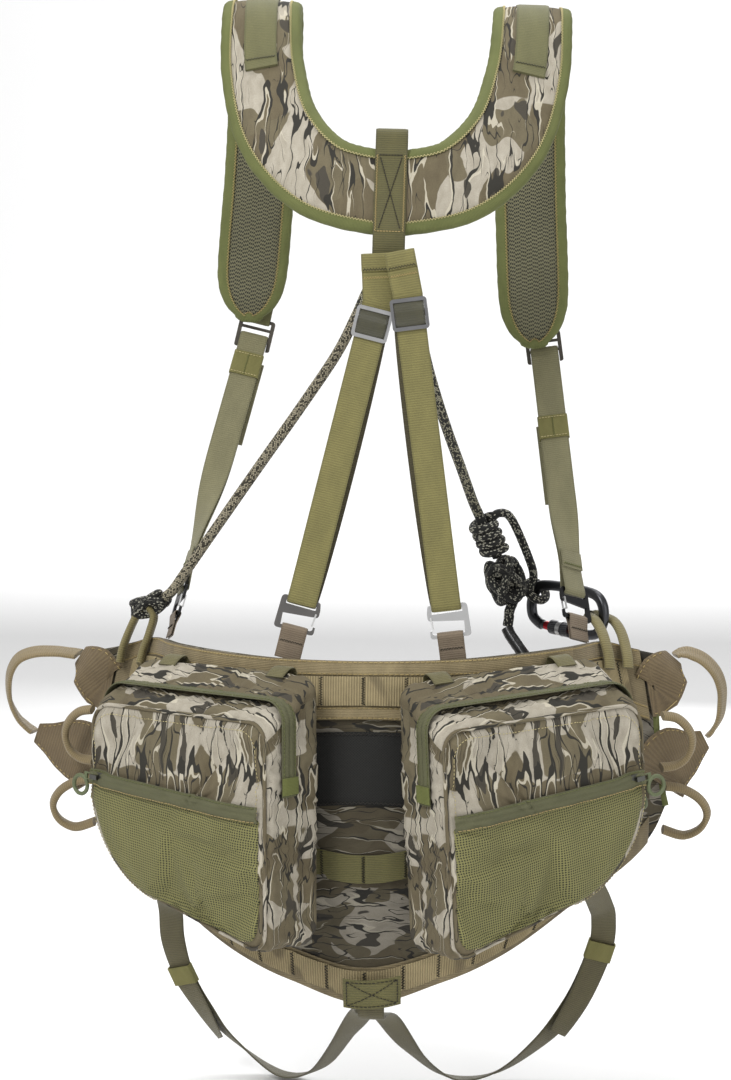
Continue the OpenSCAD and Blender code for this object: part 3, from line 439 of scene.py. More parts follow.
def webbing(name, base, shade, pitch=1.9, width=25.0, coarse=0.0, sheen=0.15, cross=0.55, rough=0.72,
            mottle=0.5):
    """Woven tape: ribs across its length, fine lines along it and a tight edge."""
    k = Nodes(name, rough=rough)
    uv = k.coords("UV")
    x, y, _ = k.split(uv)
    wander = k.noise(k.scaled(uv, (260, 90, 1)), 1.0, 2.0)
    phase = k.math("ADD", k.math("MULTIPLY", y, 2 * math.pi / (pitch * MM)), k.math("MULTIPLY", wander, 1.1))
    ribs = k.math("ADD", k.math("MULTIPLY", k.math("SINE", phase), 0.5), 0.5)
    fine = k.math("ADD", k.math("MULTIPLY", k.math("SINE", k.math("MULTIPLY", x, 2 * math.pi / (0.95 * MM))),
                                0.5), 0.5)
    flip = k.math("GREATER_THAN", k.math("SINE", k.math("MULTIPLY", phase, 0.5)), 0.0)
    fine = k.math("ABSOLUTE", k.math("SUBTRACT", flip, fine))
    soft = k.noise(k.scaled(uv, (70, 28, 1)), 1.0, 3.0)
    speck = k.noise(k.scaled(uv, (900, 900, 1)), 1.0, 2.0)
    level = k.math("ADD", k.math("MULTIPLY", ribs, cross), k.math("MULTIPLY", fine, 1 - cross))
    tone = k.math("ADD", k.math("MULTIPLY", level, 0.5),
                  k.math("ADD", k.math("MULTIPLY", k.math("SUBTRACT", soft, 0.5), mottle),
                         k.math("MULTIPLY", speck, 0.45)),
                  clamp=True)
    colour = k.mix(tone, shade, base)
    edge = k.step(k.math("ABSOLUTE", x), (width / 2 - 1.7) * MM, (width / 2 - 1.2) * MM)
    colour = k.mix(k.math("MULTIPLY", edge, 0.35), colour, shade)
    height = k.math("ADD", level, k.math("MULTIPLY", speck, 0.5))
    k.bsdf.inputs["Sheen Weight"].default_value = sheen
    k.bsdf.inputs["Sheen Roughness"].default_value = 0.5
    return k.done(colour, height, 0.6 + coarse, 0.0005)


def tape(name, base, shade, rough=0.8):
    """Soft binding tape with a fine cross grain."""
    k = Nodes(name, rough=rough)
    uv = k.coords("UV")
    x, y, _ = k.split(uv)
    fine = k.math("SINE", k.math("MULTIPLY", y, 2 * math.pi / (1.15 * MM)))
    soft = k.noise(k.scaled(uv, (120, 40, 1)), 1.0, 3.0)
    speck = k.noise(k.scaled(uv, (1100, 1100, 1)), 1.0, 2.0)
    tone = k.math("ADD", k.math("MULTIPLY", fine, 0.12), k.math("ADD", k.math("MULTIPLY", soft, 0.55),
                                                                k.math("MULTIPLY", speck, 0.4)),
                  clamp=True)
    return k.done(k.mix(tone, shade, base), k.math("ADD", fine, speck), 0.4, 0.0004)


def netting(name, base, hole, pitch=2.6, turn=0.0, open_at=0.12, chevron=0.0, rough=0.8, depth=0.0008):
    """Knitted mesh: staggered small holes, in chevrons when asked; the holes are filled with painted shade.
    """
    k = Nodes(name, rough=rough)
    uv = k.scaled(k.coords("UV"), (1, 1, 1), (0, 0, 0), turn)
    x, y, _ = k.split(uv)
    if chevron:
        fold = k.math("PINGPONG", x, chevron * MM)
        y = k.math("ADD", y, k.math("MULTIPLY", fold, 0.8))
    wx = k.math("SINE", k.math("MULTIPLY", x, 2 * math.pi / (pitch * MM)))
    wy = k.math("SINE", k.math("MULTIPLY", y, 2 * math.pi / (pitch * MM)))
    both = k.math("MULTIPLY", wx, wy)
    holes = k.step(both, open_at, open_at + 0.25)
    soft = k.noise(k.scaled(k.coords("UV"), (26, 26, 1)), 1.0, 3.0)
    speck = k.noise(k.scaled(k.coords("UV"), (1000, 1000, 1)), 1.0, 2.0)
    lit = k.mix(k.math("ADD", k.math("MULTIPLY", soft, 0.7), k.math("MULTIPLY", speck, 0.3), clamp=True),
                tuple(c * 0.62 for c in base), tuple(min(1, c * 1.3) for c in base))
    # the openings take the dark hole colour: painted shade in the holes
    colour = k.mix(holes, lit, hole)
    return k.done(colour, k.math("SUBTRACT", k.math("MULTIPLY", speck, 0.25), holes), 0.75, depth)


def metal(name, base, rough=0.32, wear=0.25, metallic=1.0):
    k = Nodes(name, rough=rough, metal=metallic)
    at = k.coords("Object")
    cloud = k.noise(k.scaled(at, (60, 60, 60)), 1.0, 4.0)
    fine = k.noise(k.scaled(at, (1500, 300, 1500)), 1.0, 2.0)
    colour = k.mix(k.math("MULTIPLY", cloud, wear), base, tuple(min(1, c * 1.8 + 0.02) for c in base))
    rough_out = k.math("ADD", k.math("MULTIPLY", cloud, 0.18), rough - 0.06)
    return k.done(colour, fine, 0.12, 0.0002, rough_out)


def rope_skin(name, dark, light, share=0.5, radius=4.5):
    """Braid: slanted cells that are dark or pale by chance, with painted shade in the grooves between them.
    """
    k = Nodes(name, rough=0.7)
    x, y, _ = k.split(k.coords("UV"))
    turn = k.math("MULTIPLY", x, 16 / (2 * math.pi * radius * MM))
    run = k.math("MULTIPLY", y, 1 / (2.5 * MM))
    a = k.math("ADD", turn, run)
    b = k.math("SUBTRACT", turn, run)
    pick = k.add("TexWhiteNoise", Vector=k.join(k.math("FLOOR", a), k.math("FLOOR", b)))
    pale = k.math("GREATER_THAN", pick.outputs["Value"], 1 - share)
    cell = k.math("MULTIPLY", k.math("SINE", k.math("MULTIPLY", k.math("FRACT", a), math.pi)),
                  k.math("SINE", k.math("MULTIPLY", k.math("FRACT", b), math.pi)))
    speck = k.noise(k.scaled(k.coords("UV"), (1500, 1500, 1)), 1.0, 2.0)
    thread_tone = k.mix(speck, tuple(c * 0.55 for c in light), light)
    colour = k.mix(pale, k.mix(speck, tuple(c * 0.6 for c in dark), dark), thread_tone)
    # the grooves between cells are painted near black: painted shade
    colour = k.mix(k.step(cell, 0.5, 0.05), colour, tuple(c * 0.35 for c in dark))
    return k.done(colour, k.math("ADD", cell, k.math("MULTIPLY", speck, 0.3)), 0.8, 0.0008)


def plain(name, base, rough=0.5, noise_scale=300.0, strength=0.15, metallic=0.0):
    k = Nodes(name, rough=rough, metal=metallic)
    cloud = k.noise(k.coords("Object"), noise_scale, 3.0)
    colour = k.mix(cloud, tuple(c * 0.75 for c in base), tuple(min(1, c * 1.2) for c in base))
    return k.done(colour, cloud, strength, 0.0003)


def ribbed(name, base, shade, pitch=2.1):
    """Webbing whose ribs run across the row, with a mottled bark print in it."""
    k = Nodes(name, rough=0.8)
    uv = k.coords("UV")
    x, y, _ = k.split(uv)
    ribs = k.math("ADD", k.math("MULTIPLY", k.math("SINE", k.math("MULTIPLY", x, 2 * math.pi / (pitch * MM))),
                                0.5), 0.5)
    fine = k.math("ADD", k.math("MULTIPLY", k.math("SINE", k.math("MULTIPLY", y, 2 * math.pi / (1.1 * MM))),
                                0.5), 0.5)
    soft = k.noise(k.scaled(uv, (45, 60, 1)), 1.0, 2.0)
    blot = k.step(k.noise(k.scaled(uv, (30, 22, 1), (3, 1, 0)), 1.0, 1.0), 0.56, 0.62)
    speck = k.noise(k.scaled(uv, (900, 900, 1)), 1.0, 2.0)
    tone = k.math("ADD", k.math("MULTIPLY", ribs, 0.42),
                  k.math("ADD", k.math("MULTIPLY", soft, 0.5), k.math("MULTIPLY", speck, 0.25)), clamp=True)
    colour = k.mix(k.math("MULTIPLY", blot, 0.55), k.mix(tone, shade, base), srgb(0.30, 0.26, 0.19))
    height = k.math("ADD", ribs, k.math("ADD", k.math("MULTIPLY", fine, 0.35),
                                        k.math("MULTIPLY", speck, 0.4)))
    return k.done(colour, height, 0.7, 0.0006)


def knurl(name):
    k = Nodes(name, rough=0.4, metal=1.0)
    at = k.coords("Object")
    turned = k.add("VectorRotate", Vector=at, Axis=(0, 0, 1), Angle=math.radians(45)).outputs[0]
    ridge = k.add("TexWave", Vector=turned, Scale=190.0, bands_direction="Z").outputs["Fac"]
    cross = k.add("TexWave", Vector=turned, Scale=190.0, bands_direction="X").outputs["Fac"]
    return k.done((0.05, 0.05, 0.054), k.math("MULTIPLY", ridge, cross), 0.7, 0.0006)


SLOTS = {}
for slot, names in (
        ("camo_cloth", "camo_cloth camo_yoke camo_panel camo_piping"),
        ("olive_tape", "olive_tape zip_tape zip_tab keeper_elastic"),
        ("olive_tape", "thread_cream thread_tan thread_dark thread_olive"),
        ("spacer_mesh", "spacer_mesh seat_mesh"),
        ("olive_mesh", "olive_mesh"),
        ("black_mesh", "black_mesh"),
        ("olive_webbing", "olive_webbing dark_webbing shoulder_webbing"),
        ("olive_webbing", "hump_webbing patch_webbing tie_webbing"),
        ("green_webbing", "green_webbing leg_webbing"),
        ("brown_webbing", "brown_webbing wing_webbing loop_webbing taupe_webbing"),
        ("brown_webbing", "twill_webbing molle_webbing belt_webbing bridge_webbing"),
        ("rope", "rope_pale rope_dark"),
        ("shrink_tube", "shrink_tube"),
        ("black_alloy", "black_alloy"),
        ("grey_alloy", "grey_metal")):
    SLOTS.update((name, slot) for name in names.split())


CAMO = camo("camo_cloth")
CAMO_YOKE = camo("camo_yoke")
CAMO_DARK = camo("camo_panel", turn=math.radians(90), dark=0.5, grow=0.9)
BINDING = tape("olive_tape", srgb(0.44, 0.46, 0.25), srgb(0.27, 0.29, 0.14))
ZIP_TAPE = tape("zip_tape", srgb(0.41, 0.41, 0.29), srgb(0.24, 0.24, 0.155))
SPACER = netting("spacer_mesh", srgb(0.42, 0.41, 0.31), srgb(0.04, 0.04, 0.03), pitch=3.4, chevron=5.1,
                 open_at=0.05)
POCKET = netting("olive_mesh", srgb(0.47, 0.46, 0.28), srgb(0.13, 0.13, 0.07), pitch=3.0,
                 turn=math.radians(38), open_at=0.15)
BLACK_MESH = netting("black_mesh", srgb(0.10, 0.10, 0.085), srgb(0.01, 0.01, 0.01), pitch=2.4, open_at=0.1)
SEAT_MESH = netting("seat_mesh", srgb(0.30, 0.30, 0.22), srgb(0.06, 0.06, 0.05), pitch=3.2, open_at=0.1)
STRAP = webbing("olive_webbing", srgb(0.55, 0.52, 0.30), srgb(0.30, 0.285, 0.145), pitch=2.0)
# darker copy of the strap webbing for the rear ply: painted shade, not a different webbing
STRAP_REAR_PAINTED_SHADE = webbing("strap_rear", srgb(0.33, 0.30, 0.17), srgb(0.16, 0.145, 0.075), pitch=2.0)
STRAP_DARK = webbing("dark_webbing", srgb(0.40, 0.38, 0.20), srgb(0.19, 0.18, 0.085), pitch=1.9, width=27)
SHOULDER = webbing("shoulder_webbing", srgb(0.47, 0.46, 0.29), srgb(0.26, 0.26, 0.14), pitch=1.6, width=28,
                   cross=0.3)
GREEN = webbing("green_webbing", srgb(0.55, 0.53, 0.39), srgb(0.33, 0.32, 0.22), pitch=1.9, cross=0.4)
BROWN = webbing("brown_webbing", srgb(0.60, 0.54, 0.40), srgb(0.27, 0.23, 0.15), pitch=1.8, width=200,
                cross=0.5, mottle=0.9)
WING = webbing("wing_webbing", srgb(0.50, 0.43, 0.30), srgb(0.26, 0.21, 0.14), pitch=2.6, width=200,
               cross=0.5, coarse=0.3)
LOOP = webbing("loop_webbing", srgb(0.58, 0.51, 0.36), srgb(0.34, 0.29, 0.19), pitch=2.1, width=200,
               cross=0.6)
LEG = webbing("leg_webbing", srgb(0.40, 0.37, 0.24), srgb(0.20, 0.185, 0.11), pitch=1.8, width=22)
TAUPE = webbing("taupe_webbing", srgb(0.53, 0.47, 0.39), srgb(0.36, 0.31, 0.25), pitch=1.8, width=22)
KEEPER = tape("keeper_elastic", srgb(0.50, 0.48, 0.28), srgb(0.34, 0.33, 0.17))
GUNMETAL = metal("gunmetal", (0.20, 0.20, 0.205), 0.34)
STEEL = metal("bright_steel", (0.62, 0.62, 0.61), 0.28)
BLACK_STEEL = metal("black_steel", (0.035, 0.035, 0.037), 0.36)
GREY_STEEL = metal("grey_metal", (0.42, 0.42, 0.42), 0.34)
DARK_STEEL = metal("dark_steel", (0.13, 0.125, 0.12), 0.38)
ZIP_METAL = metal("zip_metal", (0.10, 0.10, 0.09), 0.4)
ALLOY = metal("black_alloy", (0.055, 0.056, 0.06), 0.3)
RED_ALLOY = metal("red_alloy", (0.30, 0.012, 0.018), 0.3)
PLASTIC = plain("dark_plastic", srgb(0.24, 0.22, 0.18), 0.5)
BUCKLE = plain("buckle_plastic", srgb(0.17, 0.17, 0.17), 0.45)
CORD_PULL = plain("pull_cord", srgb(0.34, 0.37, 0.25), 0.6)
RUBBER = plain("shrink_tube", srgb(0.07, 0.07, 0.065), 0.3, 120.0, 0.25)
ROPE = rope_skin("rope", srgb(0.14, 0.135, 0.10), srgb(0.75, 0.73, 0.62), 0.46)
ROPE_PALE = rope_skin("rope_pale", srgb(0.27, 0.25, 0.19), srgb(0.78, 0.74, 0.63), 0.66)
ROPE_DARK = rope_skin("rope_dark", srgb(0.085, 0.085, 0.075), srgb(0.78, 0.77, 0.70), 0.26)
HUMP = webbing("hump_webbing", srgb(0.27, 0.26, 0.11), srgb(0.09, 0.085, 0.035), pitch=1.9, rough=0.42,
               cross=0.25, sheen=0.5)
TWILL = webbing("twill_webbing", srgb(0.64, 0.58, 0.43), srgb(0.33, 0.28, 0.18), pitch=1.5, width=400,
                cross=0.7, mottle=0.7)
STRAP_WIDE = webbing("patch_webbing", srgb(0.43, 0.41, 0.22), srgb(0.24, 0.23, 0.12), pitch=1.9, width=200)
BELT = webbing("belt_webbing", srgb(0.60, 0.53, 0.39), srgb(0.36, 0.31, 0.21), pitch=2.0, width=38)
ZIP_TAB = tape("zip_tab", srgb(0.44, 0.46, 0.24), srgb(0.30, 0.32, 0.15))
PIPING = camo("camo_piping", grow=0.8)
TIE = webbing("tie_webbing", srgb(0.46, 0.43, 0.25), srgb(0.24, 0.225, 0.12), pitch=1.7, width=19)
LOOP_GREEN = webbing("bridge_webbing", srgb(0.54, 0.50, 0.32), srgb(0.33, 0.30, 0.18), pitch=2.0, width=200,
                     cross=0.7)
MOLLE = ribbed("molle_webbing", srgb(0.66, 0.60, 0.45), srgb(0.29, 0.25, 0.16))
KNURL = knurl("sleeve_knurl")
THREADS = {
    "cream": plain("thread_cream", srgb(0.74, 0.69, 0.50), 0.7),
    "tan": plain("thread_tan", srgb(0.66, 0.58, 0.38), 0.7),
    "dark": plain("thread_dark", srgb(0.11, 0.095, 0.06), 0.7),
    "olive": plain("thread_olive", srgb(0.36, 0.38, 0.20), 0.7),
}


# ---------- yoke ----------

YOKE_POINTS = [
    [0, -105, -169], [57, -97, -156], [96, -68, -118], [113, -36, -66], [117, -8, -18], [117, 24, -6],
    [117, 56, -22], [118, 78, -80], [122, 88, -160], [127, 92, -240], [128.5, 92, -267], [129.5, 92, -284],
    [130, 92, -293]]
YOKE_NORMALS = [
    [0, -1, 0.3], [0.15, -1, 0.35], [0.3, -1, 0.55], [0.2, -1, 0.75], [0.05, -0.7, 1], [0, 0, 1],
    [0, 0.75, 0.75], [0, 1, 0.25], [0, 1, 0.08], [0, 1, 0], [0, 1, 0], [0, 1, 0], [0, 1, 0]]
YOKE_SHARES = [1, 1, 1, 0.97, 0.92, 0.9, 0.88, 0.86, 0.84, 0.84, 0.76, 0.54, 0.26]
YOKE_W = 65.0
yoke_place = Place(rot(y=1.5, z=3), (17, 0, 0))


def left_pad(p):
    share = min(1, (-22 - p[2]) / 270) if p[1] > 50 else 0
    return [-p[0] + 1.5 * share, p[1], p[2] + 17 * share]


def yoke_band(steps):
    half = smooth(YOKE_POINTS, steps)
    up = smooth(YOKE_NORMALS, steps)
    share = smooth([[s, 0, 0] for s in YOKE_SHARES], steps)[:, 0]
    left = arr([left_pad(p) for p in half])[::-1]
    route = np.concatenate([left, half[1:]])
    normals = np.concatenate([(up * [-1, 1, 1])[::-1], up[1:]])
    shares = np.concatenate([share[::-1], share[1:]])
    return Band(yoke_place(route), yoke_place.way(normals)), shares


YOKE, YOKE_SHARE = yoke_band(12)
YOKE_MID = len(YOKE.p) // 2
YOKE_ZERO = YOKE.l[YOKE_MID]
YOKE_OVER = YOKE.l[YOKE_MID + 60] - YOKE_ZERO
TOP_V = YOKE.p[YOKE_MID + 60][2] + 0.45 * YOKE.p[YOKE_MID + 60][1]


def yoke_width(v):
    return float(np.interp(v, YOKE.l, YOKE_SHARE)) * YOKE_W


def yoke_puff(u, v):
    """Height of the pad's outer face above its middle plane."""
    half = yoke_width(v) / 2
    r = min(1, abs(u) / max(half, 1))
    along = min(1, (v + 6) / 26, (YOKE.length - v + 6) / 26)
    return 3.0 + 3.3 * (1 - r ** 4) * max(0, along) ** 0.5


def upright(p, v):
    """Print coordinates that stay upright all over the yoke."""
    past = abs(v - YOKE_ZERO) - YOKE_OVER
    return (p[0], p[2] + 0.45 * p[1]) if past < 0 else (p[0], TOP_V + past)


def yoke_pad(name, side, material, low, crease):
    """One face of the pad, from the middle plane to its puffed skin."""
    v = np.linspace(0, YOKE.length, 300)
    rows = YOKE.pick(YOKE.p, v), YOKE.pick(YOKE.s, v), YOKE.pick(YOKE.n, v)
    cols = 20
    top = np.empty((len(v), cols + 1, 3))
    under = np.empty_like(top)
    uv = np.empty((len(v), cols + 1, 2))
    for i, x in enumerate(v):
        w = yoke_width(x)
        for j in range(cols + 1):
            u = (2 * j / cols - 1) * w / 2 * 0.995
            n = rows[2][i] * side
            h = yoke_puff(u, x) + crease(u, x)
            base = rows[0][i] + rows[1][i] * u
            top[i, j] = base + n * h
            under[i, j] = base + n * low
            uv[i, j] = (u, x) if side < 0 else upright(base, x)
    if side < 0:
        top, under = under, top
    return slab(name, top, under, uv, material, sharp=70)


def yoke_crease(u, v):
    d = v - YOKE_ZERO
    over = math.exp(-((abs(d) - 260) / 60) ** 2)
    return 0.35 * wobble(u * 0.05, v * 0.02, 3) + over * 0.35 * wobble(u * 0.01, v * 0.09, 7)


def lining_crease(u, v):
    h = 0.25 * wobble(u * 0.08, v * 0.04, 5)
    for d in (v, YOKE.length - v):
        for at in (30, 58):
            h -= 1.5 * math.exp(-((d - at) / 5) ** 2) * max(0, 1 - abs(u / 17) ** 4)
    return h


shell = yoke_pad("yoke_shell_visual", 1, CAMO_YOKE, 0.4, yoke_crease)
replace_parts(shell, "yoke_shell", "yoke_foam")
lining = yoke_pad("yoke_lining_visual", -1, SPACER, 0.2, lining_crease)
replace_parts(lining, "yoke_lining")


def yoke_rim_loop():
    """Stations round the outline: edge point, outward direction and normal."""
    v = np.linspace(0, YOKE.length, 250)
    p, s, n, t = (YOKE.pick(rows, v) for rows in (YOKE.p, YOKE.s, YOKE.n, YOKE.t))
    w = arr([yoke_width(x) / 2 for x in v])[:, None]
    out = [(p[i] + s[i] * w[i], s[i], n[i], v[i], 1) for i in range(len(v))]

    def tip(i, way):
        half = float(w[i][0])
        found = []
        for k in range(1, 8):
            a = math.pi * k / 8
            side = math.cos(a) * (1 if way > 0 else -1)
            d = unit(s[i] * side + t[i] * way * math.sin(a))
            found.append((p[i] + s[i] * side * half + t[i] * way * math.sin(a) * 1.4, d, n[i],
                          v[i] + way * math.sin(a), 0))
        return found

    return out + tip(-1, 1) + [(p[i] - s[i] * w[i], -s[i], n[i], v[i], -1) for i in range(len(v) - 1, -1,
                                                                                          -1)] + tip(0, -1)


def make_binding():
    loop = yoke_rim_loop()
    profile = [(-5.2, 4.9), (-5.2, 5.9), (-2.0, 5.7), (1.5, 5.0), (3.6, 3.4), (4.5, 1.2), (4.6, -1.2),
               (3.6, -3.4), (1.5, -5.0), (-2.0, -5.7), (-5.2, -5.9), (-5.2, -4.9), (-1.5, -4.3),
               (1.0, -3.4), (2.6, 0), (1.0, 3.4), (-1.5, 4.3)]
    points, uvs, faces = [], [], []
    run = 0.0
    last = None
    around = run_of(profile)
    for e, out, n, v, side in loop:
        run += 0 if last is None else float(np.linalg.norm(e - last))
        last = e
        pucker = 0.25 * wobble(run * 0.12, 2.5, 0) + 0.18 * math.sin(run * 0.9)
        for (a, h), g in zip(profile, around):
            swell = pucker * 0.6 if h > 0 else -pucker * 0.6
            points.append(e + out * (a + (pucker if a > 1 else 0)) + n * (h + swell))
            uvs.append((g, run))
    m, count = len(profile), len(loop)
    for i in range(count):
        q = (i + 1) % count
        for k in range(m):
            r = (k + 1) % m
            faces.append((i * m + k, q * m + k, q * m + r, i * m + r))
    obj = new_object("yoke_binding_visual", points, faces, uvs, BINDING, sharp=70)
    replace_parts(obj, "yoke_binding")
    for face, height in ((1, 6.25), (-1, 6.2)):
        pts = []
        total = int(run / 1.35)
        dist = run_of([row[0] for row in loop + loop[:1]])
        for k in range(total):
            at = run * k / total
            i = min(int(np.searchsorted(dist, at, "right") - 1), count - 1)
            f = (at - dist[i]) / max(dist[i + 1] - dist[i], 1e-6)
            e, out, n = (loop[i][c] * (1 - f) + loop[(i + 1) % count][c] * f for c in range(3))
            swing, dip = (0.85, 0.15) if k % 2 else (-0.85, 0)
            pts.append(e + out * (-4.6 + swing) + n * face * (height - dip))
        thread("cream" if face > 0 else "tan", pts, 0.36)
    return obj


make_binding()


def pad_surface(lift):
    return lambda u, v: YOKE.at(u, v, yoke_puff(u, v) + lift)


def piece_of(band, start, end):
    v = np.linspace(start, end, max(3, int(abs(end - start) / 4)))
    return Band(band.pick(band.p, v), band.pick(band.n, v))


def shoulder_strap(name, start, end):
    part = piece_of(YOKE, start, end)
    base = ribbon(name, part, 28, 1.6, 0, SHOULDER, rise=lambda u,
                  v: yoke_puff(u, start + (end - start) * v / part.length) + 0.1)
    for a, b in ((start, start + (9 if end > start else -9)), (end, end - (9 if end > start else -9))):
        fold = piece_of(YOKE, a, b)
        ribbon(name + "_hem_" + ("a" if a == start else "b"), fold, 28.4, 1.5, 0, SHOULDER, step=2,
                     rise=lambda u, v: yoke_puff(u, a) + 1.75)
        stitch("dark", pad_surface(3.6), (-12.5, b), (12.5, b), 2.6, wide=1.6)
    return base


def yoke_v(steps_from_mid):
    """Length along the yoke of a station counted in thirds of a point from its middle."""
    return float(YOKE.l[YOKE_MID + steps_from_mid * 4])


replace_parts(shoulder_strap("shoulder_webbing_right", yoke_v(9), yoke_v(17)), "shoulder_webbing")
shoulder_strap("shoulder_webbing_left", yoke_v(-9), yoke_v(-17))

BACK_WEBBING = [
    [0, -92, -152], [0, -87.2, -136], [0, -84.5, -124], [0, -89, -115], [0, -97, -116], [0, -101, -130],
    [0, -106.2, -149.5], [0, -111.6, -167], [0, -117, -184.5], [0, -122.3, -203], [0, -123.4, -222],
    [0, -123, -240], [0, -121.5, -256], [0, -114, -266], [0, -106.5, -256], [0, -105.3, -240],
    [0, -106, -222],
    [0, -107.6, -206.5], [0, -102.8, -190]]


def make_back_webbing():
    route = smooth(BACK_WEBBING, 6)
    t = unit(np.gradient(route, axis=0))
    band = Band(yoke_place(route), yoke_place.way(np.cross([1, 0, 0], t)))
    obj = ribbon("yoke_back_webbing_visual", band, 27, 1.6, -0.8, STRAP_DARK, step=2.5, life=0.15)
    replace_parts(obj, "yoke_back_webbing")
    z = yoke_place.r.T
    local = (band.p - yoke_place.t) @ z.T
    v_of = lambda height, start: float(band.l[start + int(np.argmin(np.abs(local[start:start + 40,
                                                                                 2] - height)))])
    a, b = v_of(-136, 30), v_of(-200, 30)
    face = lambda u, v: band.at(u, v, -1.1)
    for s in (-1, 1):
        stitch("tan", face, (s * 11.6, a), (s * 11.6, b), 2.4, wide=1.3, r=0.34)
    for u0, v0, u1, v1 in ((-10, a, 10, a), (-10, b, 10, b), (-9, a + 2, 9, b - 2), (9, a + 2, -9, b - 2)):
        stitch("dark" if v0 != b else "tan", face, (u0, v0), (u1, v1), 2.6, r=0.42)
    return obj


make_back_webbing()

# ---------- straps ----------

BACK_HEAD = arr([[8, -127.5, -219], [28, -136, -217]])
BACK_TOP = arr([[9.5, -128, -258], [34.6, -137.4, -251]])
BACK_LOW = arr([[-54, -132, -509], [67, -129, -513]])
GLIDE_AT = (19, 17)
FRONT_TOP = arr([[-120, 95, -292], [143, 108.5, -304]])
FRONT_LOW = arr([[-174, 6, -514], [171.5, 0, -513]])
FRONT_TURN = (-75, 50)
FRONT_FLAT = (96, 130)
KEEPER_AT = (27, 77)
WEB_W, WEB_T = 25.0, 1.6
PLY = 0.95


def arc(cx, cy, r, start, end, steps=8):
    return [(cx + r * math.cos(math.radians(start + (end - start) * i / steps)),
             cy + r * math.sin(math.radians(start + (end - start) * i / steps))) for i in range(steps + 1)]


def strap_in(place, path, turn=None, normal_sign=1, slip=None):
    """Band from a (y, z) path in a placement, turned about the placement's Z by turn(z) degrees."""
    path = arr(path)
    t = unit(np.gradient(path, axis=0))
    points, normals = [], []
    slip = np.zeros(len(path)) if slip is None else arr(slip)
    for (y, z), (ty, tz), dx in zip(path, t, slip):
        a = math.radians(turn(z)) if turn else 0.0
        c, s = math.cos(a), math.sin(a)
        ny, nz = normal_sign * tz, -normal_sign * ty
        points.append([dx - y * s, y * c, z])
        normals.append([-ny * s, ny * c, nz])
    return Band(place(points), place.way(normals))


def resample(path, step=3.0):
    path = arr(path)
    d = run_of(path)
    v = np.linspace(0, d[-1], int(d[-1] / step) + 2)
    return arr([np.interp(v, d, path[:, 0]), np.interp(v, d, path[:, 1])]).T


def make_back_strap(k):
    side = "left" if k == 0 else "right"
    place = along_line(BACK_TOP[k], BACK_LOW[k])
    length = float(np.linalg.norm(BACK_LOW[k] - BACK_TOP[k]))
    path = [(-PLY, 2), (-PLY, -length * 0.4), (-1.6, -length + 60), (-2.0, -length + 26)]
    path += [(y, z) for y, z in arc(0, -length, 2.9, 180, 360, 10)]
    path += [(4.6, -length + 26), (5.6, -length + 60), (4.2, -length * 0.4), (PLY, -30), (PLY, 2)]
    path = resample(path)
    turned = int(np.argmin(path[:, 1]))
    bow = 3.4 if k == 0 else -4.4
    slip = [0 if i < turned else bow * math.sin(math.pi * min(1, max(0, (-z - 10) / (length - 10)))) ** 0.5
            for i, (_, z) in enumerate(path)]
    band = strap_in(place, path, normal_sign=-1, slip=slip)
    obj = ribbon("back_strap_" + side, band, WEB_W, WEB_T, -WEB_T / 2, STRAP, step=None, life=0.2)
    # faces of the rear ply, past the turn at the bottom, take the darker copy: painted shade
    obj.data.materials.append(STRAP_REAR_PAINTED_SHADE)
    for face in obj.data.polygons:
        if min(face.vertices) % (len(band.l) * 9) // 9 > turned + 2:
            face.material_index = 1
    head = along_line(BACK_HEAD[k], BACK_TOP[k])
    drop = float(np.linalg.norm(BACK_TOP[k] - BACK_HEAD[k]))
    fold = resample([(-PLY, -drop - 3), (-PLY, -20), (-1.2, -8), (-0.6, -1), (0.4, 0.2), (1.0, -1.5),
                     (PLY, -8), (PLY, -drop - 3)], 2.0)
    ribbon("back_strap_head_" + side, strap_in(head, fold, normal_sign=-1), WEB_W, WEB_T, -WEB_T / 2, STRAP,
           step=None, life=0.1)
    hem = resample([(-2.7, -13.5), (-2.75, -6), (-2.5, -1), (-1.6, 0.9)], 2.0)
    ribbon("back_strap_hem_" + side, strap_in(head, hem), WEB_W + 0.2, WEB_T, -WEB_T / 2, STRAP, step=None,
           life=0.1)
    face = lambda x, z: head([x, -3.75, z])
    stitch("dark", face, (-11, -12.2), (11, -12.2), 2.4, wide=1.8, r=0.4)
    stitch("tan", lambda x, z: head([x, -2.0, z]), (-11, -19), (11, -19), 2.2, wide=1.5)
    return obj


back_left = make_back_strap(0)
make_back_strap(1)
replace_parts(back_left, "back_straps")


def make_hump(k):
    """Webbing where it rises over the bar of a tri-glide."""
    side = "left" if k == 0 else "right"
    place = along_line(BACK_TOP[k], BACK_LOW[k]).then(t=(0, 0, -GLIDE_AT[k]))
    path = resample([(-1.2, 11.5), (-2.6, 9.6), (-5.0, 6.5), (-6.3, 2), (-6.3, -2), (-5.0, -6.5),
                     (-2.6, -9.6), (-1.2, -11.5)], 1.2)
    obj = ribbon("tri_glide_hump_" + side, strap_in(place, path), 24.6, 1.5, -0.75, HUMP,
                 body="tri_glide_" + side,
                 step=None, crown=0.35, life=0.1)


for k in (0, 1):
    make_hump(k)


